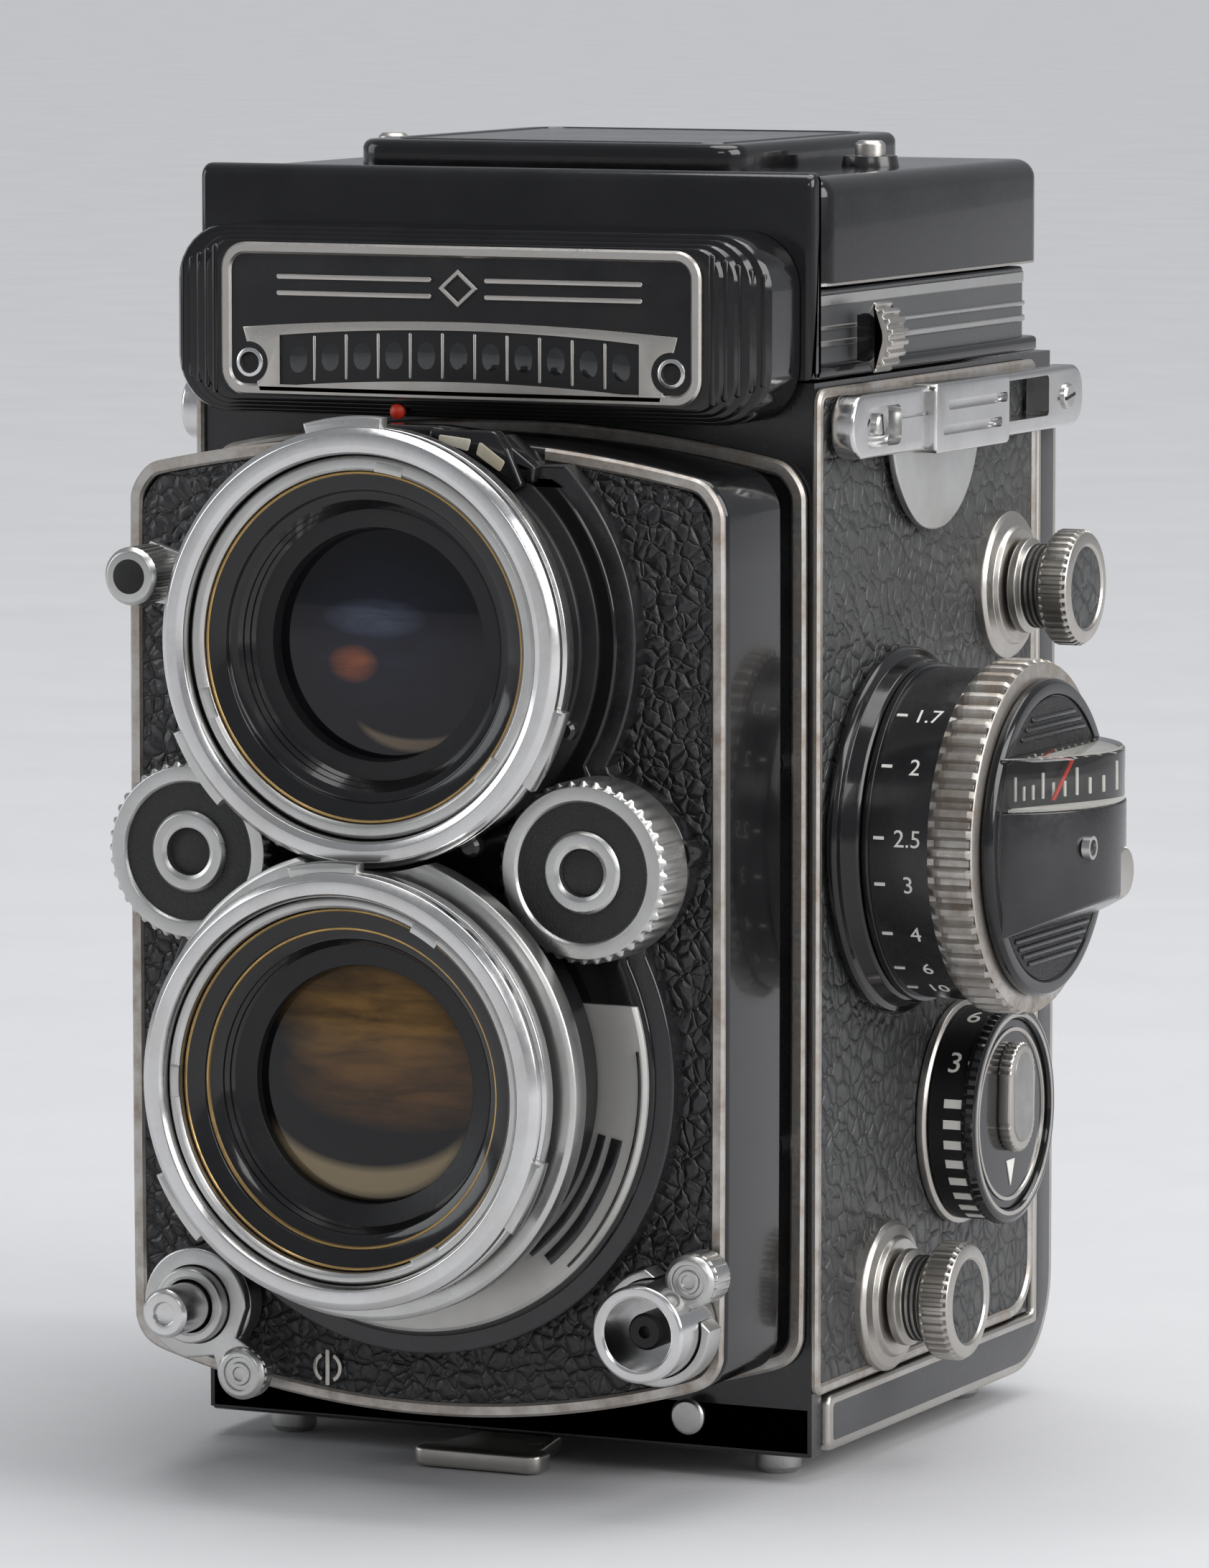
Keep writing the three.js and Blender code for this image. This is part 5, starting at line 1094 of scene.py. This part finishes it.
def buildReminder():
    at, r = reminder["at"], reminder["r"]
    base = lathe([[1.5, 37.8], [12.7, 37.8], [12.7, 38.6], [12.3, 38.9], [1.5, 38.9]], at, "x", 128, 0.15)
    piece("reminder_base", base, mats["nickelSatin"], body)
    drum = lathe([[0, 37.1], [1.4, 37.1], [1.4, 38.9], [r - 0.4, 38.9], [r - 0.1, 39.1], [r - 0.1, 43.4], [r - 1.4, 43.5],
                  [r - 1.6, 43.2], [0, 43.2]], at, "x", 144)
    piece("reminder_drum", drum, mats["paintSatinBlack"], "reminder", "film_reminder_dial")
    rim = lathe([[r - 1.4, 43.2], [r + 0.2, 43.2], [r + 0.3, 43.6], [r + 0.1, 44.4], [r - 0.4, 44.6], [r - 1.2, 44.6],
                 [r - 1.4, 44.2]], at, "x", 288, (0, 0.1, 0.15, 0.2, 0.15, 0.15, 0.1), ribs=(72, 0.2, 43.4, 44.4, 12.2))
    piece("reminder_rim", rim, mats["enamelBlack"], "reminder")
    edge = lathe([[r - 1.3, 44.2], [r - 1.2, 44.62], [r - 0.75, 44.62], [r - 0.65, 44.3]], at, "x", 144)
    piece("reminder_rim_edge", edge, mats["nickelSatin"], "reminder")
    disc = lathe([[0, 43.1], [r - 1.4, 43.1], [r - 1.4, 43.9], [r - 1.6, 44.0], [0, 44.0]], at, "x", 96, 0.06)
    piece("reminder_face", disc, mats["enamelBlack"], "reminder")
    hoop = lathe([[9.3, 43.9], [9.4, 44.2], [9.8, 44.2], [9.9, 43.9]], at, "x", 128)
    piece("reminder_hoop", hoop, mats["nickelSatin"], "reminder")
    # oval grip: milled rim round a grained pad
    oval = softLoop([[36.0, 28.8], [43.6, 28.8], [43.6, 41.2], [36.0, 41.2]], 3.7, 24)
    milled = offsetLoop(tidyLoop(oval), 0)
    milled = offsetLoop(milled, -0.12 + 0.12 * np.cos(np.arange(len(milled)) * turn / 3)[:, None])
    piece("reminder_grip", slab(milled, 43.9, 45.6, 0.35, "x", steps=4), mats["nickelSatin"], "reminder")
    pad = slab(offsetLoop(tidyLoop(oval), -1.1), 45.3, 45.75, 0.2, "x")
    piece("reminder_grip_pad", pad, mats["greyDisc"], "reminder")
    texts = [letteringOnDrum(word, 3.6, at, r - 0.12, 41.4, math.radians(angle))
             for word, angle in (("3", 145), ("6", 110), ("9", 60), ("12", 20))]
    texts += [tickOnDrum(at, r + 0.02, 40.9, 43.0, angle, 1.0) for angle in range(168, 248, 11)]
    texts += [tickOnDrum(at, r + 0.02, 43.0, 43.3, angle, 0.4) for angle in (110, 145, 60, 20, 330, 300, 270)]
    piece("reminder_numerals", join(*texts), mats["paintWhite"], "reminder", (), 20)
    arrow = slab(np.array([[38.6, 27.8], [39.8, 24.8], [41.0, 27.8]]), 43.95, 44.12, 0.03, "x")
    piece("reminder_arrow", arrow, mats["paintWhite"], "reminder")


spoolKnobs = dict(upper=(52.4, 91.7), lower=(18.5, 15.1))


def buildSpoolKnobs():
    for word, at in spoolKnobs.items():
        shaft = lathe([[0, 32], [2.2, 32], [2.2, 40.2], [5.2, 40.2], [5.4, 40.4], [5.4, 41.2], [4.7, 41.6], [4.7, 43.6],
                       [6.0, 44.4], [6.0, 45], [0, 45]], at, "x", 64, (0, 0, 0, 0, 0.1, 0.2, 0.2, 0.3, 0.2, 0, 0))
        piece(word + "_knob_stem", shaft, mats["nickelSatin"], word + "_knob", word + "_spool_knob")
        grooves = [lathe([[4.5, x], [4.78, x], [4.78, x + 0.28], [4.5, x + 0.28]], at, "x", 64) for x in (41.8, 42.45, 43.1)]
        piece(word + "_knob_grooves", join(*grooves), mats["paintMatBlack"], word + "_knob")
        head = lathe([[0, 44.4], [6.1, 44.4], [6.6, 44.9], [6.6, 47.2], [6.2, 47.8], [4.9, 48.0], [4.6, 47.7], [0, 47.7]],
                     at, "x", 240, (0, 0.2, 0.25, 0.3, 0.3, 0.2, 0.2, 0), ribs=(40, 0.34, 44.8, 47.4, 6.2))
        piece(word + "_knob_head", head, mats["nickelSatin"], word + "_knob")
        inlay = dome(at, 5.0, 47.7, -0.25, 47.2, "x", 72, 8)
        piece(word + "_knob_inlay", inlay, mats["leatherSheenPainted"], word + "_knob")


crank = dict(at=(36.0, 78.0), arm=24.0)


def buildCrank():
    y, z = crank["at"]
    arm = crank["arm"]
    base = lathe([[2.6, -38.1], [12.8, -38.1], [13, -38.4], [13, -39.2], [12.6, -39.5], [11.7, -40.0], [2.6, -40.0]],
                 (y, z), "x", 128, (0, 0.1, 0.2, 0.2, 0.3, 0.2, 0))
    piece("crank_base_disc", base, mats["nickelSatin"], body, "crank_base")
    loop = softLoop([[y - arm - 5, z - 4.9], [y + 2, z - 6], [y + 6.6, z], [y + 2, z + 6], [y - arm - 5, z + 4.9]],
                    (4.4, 3, 5.5, 3, 4.4), 9)
    bar = slab(loop, -42.4, -40.2, 0.5, "x", steps=5)
    barPiece = piece("crank_arm_bar", bar, mats["nickelSatin"], "crank", "crank_arm")
    cutPiece(barPiece, slab(box2d(y - arm - 3.4, y - 6, z - 3.4, z + 3.4, 1.2, 6), -43, -41.2, 0.01, "x"),
             slab(box2d(y - arm - 3.4, y - arm + 3, z - 3.4, z + 3.4, 0.6, 5), -43, -39, 0.01, "x"))
    hub = lathe([[0, -43.2], [4.4, -43.2], [5, -42.7], [5, -41.4], [2.4, -41.2], [2.4, -31], [0, -31]], (y, z), "x", 96,
                (0, 0.3, 0.3, 0, 0, 0, 0))
    piece("crank_hub", hub, mats["chromeBright"], "crank")
    slot = screw((y, z), 2.6, -42.9, -43.35, "x", 30)[1]
    piece("crank_hub_slot", slot, mats["paintMatBlack"], "crank")
    grip = slab(box2d(y - arm - 2.6, y - 8, z - 2.9, z + 2.9, 2.3, 8), -45, -41.5, 0.9, "x", steps=6)
    gripPiece = piece("crank_grip_bar", grip, mats["nickelSatin"], "crank_grip", "crank_handle")
    cutPiece(gripPiece, *[slab(box2d(v, v + 0.7, z - 3.2, z + 3.2, 0.2, 2), -46, -44.6, 0.01, "x")
                          for v in np.linspace(13, 24, 9)])
    # counter window on the same side
    counter = band(box2d(47.6, 56.4, 96.4, 101.6, 1.4, 7), 0.8, -38.1, -37.4, 0.2, "x")
    piece("counter_frame", counter, mats["nickelSatin"], body)
    pane = slab(box2d(48.2, 55.8, 97.0, 101.0, 0.9, 6), -37.95, -37.4, 0.12, "x")
    piece("counter_pane", pane, mats["meterCell"], body)


backLook = dict(half=37.8, rear=68.2, outer=68.7, leather=68.5, top=112.2, rail=6.2, front=2.9, corner=11.0)


def buildBack():
    b = backLook
    inner = 62.5
    # the side rails and the back as one bent outline, then hollowed
    loop = softLoop([[b["front"], 0], [b["rear"], 0], [b["rear"], b["top"]], [inner, b["top"]], [inner, b["rail"]],
                     [b["front"], b["rail"]]], (1.2, b["corner"], 1.2, 1.2, 0.8, 1.2), 14)
    doorPiece = piece("back_door_shell", slab(loop, -b["half"], b["half"], 0.45, "x", steps=4), mats["nickelSatin"],
                      "back", "back_door")
    hollow = softLoop([[b["front"] - 3, 1.5], [b["rear"] - 1.5, 1.5], [b["rear"] - 1.5, b["top"] - 1.5],
                       [b["front"] - 3, b["top"] - 1.5]], (0.5, b["corner"] - 1.5, 0.5, 0.5), 12)
    cutPiece(doorPiece, slab(hollow, -b["half"] + 1.5, b["half"] - 1.5, 0.05, "x"))
    # dark painted inlay along each side rail and up the rear edge, inside a bright border
    railLoop = softLoop([[4.2, 1.1], [67.0, 1.1], [67.0, 110.6], [63.4, 110.6], [63.4, 5.2], [4.2, 5.2]],
                        (0.5, 9.8, 0.4, 0.4, 0.6, 0.5), 12)
    inlay = slab(railLoop, b["half"] - 0.3, b["half"] + 0.06, 0.04, "x")
    piece("back_rail_inlays", join(inlay, mirrorX(inlay)), mats["hoodGrey"], "back")
    # leather on the back: straight down, then an arc of the corner radius plus its own thickness
    k = np.linspace(0, 1.15, 18)
    skin, root = b["leather"] - b["rear"], -0.4
    outerPath, inward = [np.concatenate([[[b["rear"] + d, b["top"] - 1.6]], np.stack(
        [b["rear"] - b["corner"] + (b["corner"] + d) * np.cos(k), b["corner"] - (b["corner"] + d) * np.sin(k)], 1)])
        for d in (skin, root)]
    sheet = slab(np.concatenate([outerPath, inward[::-1]]), -36.2, 36.2, 0.15, "x", steps=3)
    piece("back_leather", sheet, mats["leatherSheenPainted"], "back")
    # exposure table: dark plate with a bright edge and a plain ruled grid
    plate = slab(box2d(-24.4, 24.4, 42.4, 83.6, 1.6, 6), b["rear"], b["outer"] - 0.12, 0.08, "y", edgeHigh=0.01)
    piece("back_table_plate", plate, mats["paintSatinBlack"], "back")
    edgeBand = band(box2d(-25, 25, 41.8, 84.2, 2.2, 8), 0.9, b["rear"], b["outer"], 0.12, "y")
    rows = [slab(box2d(-23, 23, z - 0.14, z + 0.14, 0.1, 2), b["rear"], b["outer"] - 0.06, 0.03, "y") for z in
            np.arange(48.5, 80, 6.2)]
    columns = [slab(box2d(x - 0.14, x + 0.14, 44.2, 81.8, 0.1, 2), b["rear"], b["outer"] - 0.04, 0.03, "y") for x in
               (-14.5, -4.5, 5.5, 15.5)]
    piece("back_table_rules", join(edgeBand, *rows, *columns), mats["nickelSatin"], "back")
    tripodPad = slab(box2d(-16, 16, 31, 47, 1.2, 6), -0.9, 0.4, 0.25, "z", edgeHigh=0.01)
    padPiece = piece("tripod_pad", tripodPad, mats["nickelSatin"], "back")
    cutPiece(padPiece, lathe([[0, -2], [5.7, -2], [5.7, 2], [0, 2]], (0, 39), "z", 64))
    feet = [lathe([[0, 0.4], [2.6, 0.4], [2.6, -2.7], [2.1, -3.3], [0, -3.3]], (x, y), "z", 48, (0, 0, 0.4, 0.4, 0))
            for x in (-30, 30) for y in (7, 58)]
    piece("back_feet", join(*feet), mats["chromeSatin"], "back")
    bush = lathe([[3.4, 2.2], [5.4, 2.2], [5.4, -1.3], [5.1, -1.6], [3.7, -1.6], [3.4, -1.3]], (0, 39), "z", 96,
                 (0, 0, 0.15, 0.15, 0.1, 0.1))
    piece("tripod_bush_ring", bush, mats["chromeSatin"], "back", "tripod_bush")
    lever = slab(softLoop([[-7.8, -8.2], [7.6, -8.2], [7.6, -4.6], [6.0, -4], [4, 6.5], [-4, 6.5], [-6.2, -4], [-7.8, -4.6]],
                          (1.4, 1.4, 0.6, 0.5, 1.2, 1.2, 0.5, 0.6), 6), -3.1, -1.0, 0.4, "z", steps=5)
    piece("latch_plate", lever, mats["nickelSatin"], "latch", "latch_lever")
    hinge = lathe([[0, -34], [1.2, -34], [1.2, 34], [0, 34]], (66.9, 113.6), "x", 32)
    piece("back_hinge_rod", hinge, mats["nickelSatin"], body)
    bottomTrim = slab(box2d(0.0, 3.0, -0.4, 5.6, 0.6, 5), -36.9, 36.9, 0.4, "x")
    piece("front_lower_rail", bottomTrim, mats["enamelBlack"], body)


def buildSmall():
    stud = lathe([[0, -2.6], [1.7, -2.6], [2.0, -2.3], [2.0, -1.9], [1.2, -1.6], [1.2, -0.1], [0, -0.1]],
                 (23.1, 3.7), "y", 40, (0, 0.2, 0.2, 0.15, 0.1, 0, 0))
    piece("case_stud_head", stud, mats["chromeSatin"], body, "case_stud")


# finishes for the CAD nodes that keep their own shape
kept = {"body_shell": "enamelWorn", "mirror": "mirrorSilver", "focusing_screen": "groundGlass", "film_gate": "paintMatBlack",
        "viewing_rear_element": "meterCell", "taking_rear_element": "meterCell", "iris_ring": "paintMatBlack",
        "takeup_spool": "paintSatinBlack", "supply_spool": "paintSatinBlack", "upper_film_roller": "nickelSatin",
        "lower_film_roller": "nickelSatin", "pressure_plate": "paintSatinBlack", "hood_back_leaf": "paintSatinBlack",
        "hood_left_leaf": "paintSatinBlack", "hood_right_leaf": "paintSatinBlack", "magnifier_frame": "paintSatinBlack",
        "magnifier_lens": "glassClear"}


def finishKept():
    for name, look in kept.items():
        obj = bpy.data.objects[name]
        obj.data.materials.clear()
        obj.data.materials.append(mats[look])


for stage, build in (("sides", buildSides), ("lens standard", buildStandard), ("viewing lens", buildViewingLens),
                     ("taking lens", buildTakingLens), ("setting wheels", buildWheels), ("small levers", buildLevers),
                     ("meter housing", buildMeterHousing), ("hood", buildHood), ("hood lid", buildLid),
                     ("hood catches", buildCatches), ("strap lugs", buildLugs), ("focus knob", buildFocus),
                     ("meter head", buildMeterHead), ("film reminder", buildReminder), ("spool knobs", buildSpoolKnobs),
                     ("crank", buildCrank), ("back", buildBack), ("small fittings", buildSmall), ("kept nodes", finishKept)):
    build()
    print(stage, "made,", pieceCount, "pieces so far")


def plainFinish(name, tint, worn, rough, bumpDepth, scale):
    return material(name, dict(clean=tint, worn=worn, amount=0.6, patch=scale, roughLow=rough, roughHigh=rough + 0.1,
                               bump=bumpDepth, fine=scale * 60))


studio = dict(floorTint=(0.53, 0.53, 0.54), floorWorn=(0.49, 0.49, 0.503), radius=16.0, skyTint=(0.72, 0.74, 0.78),
              skyStrength=0.42, sunPower=2.3, sunAngle=52)


def buildStudio():
    # one flat round floor, wide enough to run past the horizon of every view: corner n = radius at n/64 of a turn
    a = np.linspace(0, 2 * math.pi, 64, endpoint=False)
    corners = np.stack([studio["radius"] * np.cos(a), studio["radius"] * np.sin(a), 0 * a], 1)
    mesh = bpy.data.meshes.new("studio_floor")
    mesh.from_pydata(corners.tolist(), [], [list(range(64))])
    floor = bpy.data.objects.new("studio_floor", mesh)
    bpy.context.scene.collection.objects.link(floor)
    mesh.materials.append(plainFinish("floorCloth", studio["floorTint"], studio["floorWorn"], 0.75, 0.00006, 22.0))


lamps = {  # place, aim, size, power, tint
    "softRight": ((1.25, -0.1, 0.75), (0, 0, 0.07), (1.0, 1.0), 18.0, (1, 1, 1)),
    "softLeft": ((-1.25, -0.5, 0.55), (0, 0, 0.07), (0.8, 0.9), 5.0, (0.96, 0.98, 1)),
    "softFront": ((0.9, -1.7, 1.1), (0, 0, 0.07), (0.8, 0.5), 5.0, (1, 1, 1)),
}


def aim(obj, start, target):
    obj.location = start
    obj.rotation_euler = (Vector(target) - Vector(start)).to_track_quat("-Z", "Y").to_euler()


def buildLights():
    for name, (start, target, size, power, tint) in lamps.items():
        light = bpy.data.lights.new(name, "AREA")
        light.shape, light.size, light.size_y = "RECTANGLE", size[0], size[1]
        light.energy, light.color = power, tint
        obj = bpy.data.objects.new(name, light)
        bpy.context.scene.collection.objects.link(obj)
        aim(obj, start, target)
    # broad sun from above keeps the floor evenly pale out to the horizon
    sun = bpy.data.lights.new("softTop", "SUN")
    sun.energy, sun.angle = studio["sunPower"], math.radians(studio["sunAngle"])
    obj = bpy.data.objects.new("softTop", sun)
    bpy.context.scene.collection.objects.link(obj)
    aim(obj, (0.1, 0.25, 1.3), (0, 0, 0.07))
    world = bpy.data.worlds.new("studio")
    bpy.context.scene.world = world
    world.use_nodes = True
    world.node_tree.nodes["Background"].inputs["Color"].default_value = (*studio["skyTint"], 1)
    world.node_tree.nodes["Background"].inputs["Strength"].default_value = studio["skyStrength"]


def buildCamera():
    data = bpy.data.cameras.new("studioCamera")
    data.lens, data.sensor_width, data.sensor_fit = 201.2, 36, "AUTO"
    data.clip_start, data.clip_end = 0.05, 40
    camera = bpy.data.objects.new("studioCamera", data)
    bpy.context.scene.collection.objects.link(camera)
    camera.location = (0.40445, -0.88075, 0.1802)
    camera.rotation_euler = (math.radians(83.79), 0, math.radians(24.87))
    bpy.context.scene.camera = camera


buildStudio()
buildLights()
buildCamera()
bpy.context.scene.view_settings.view_transform = "Standard"
print("studio ready")
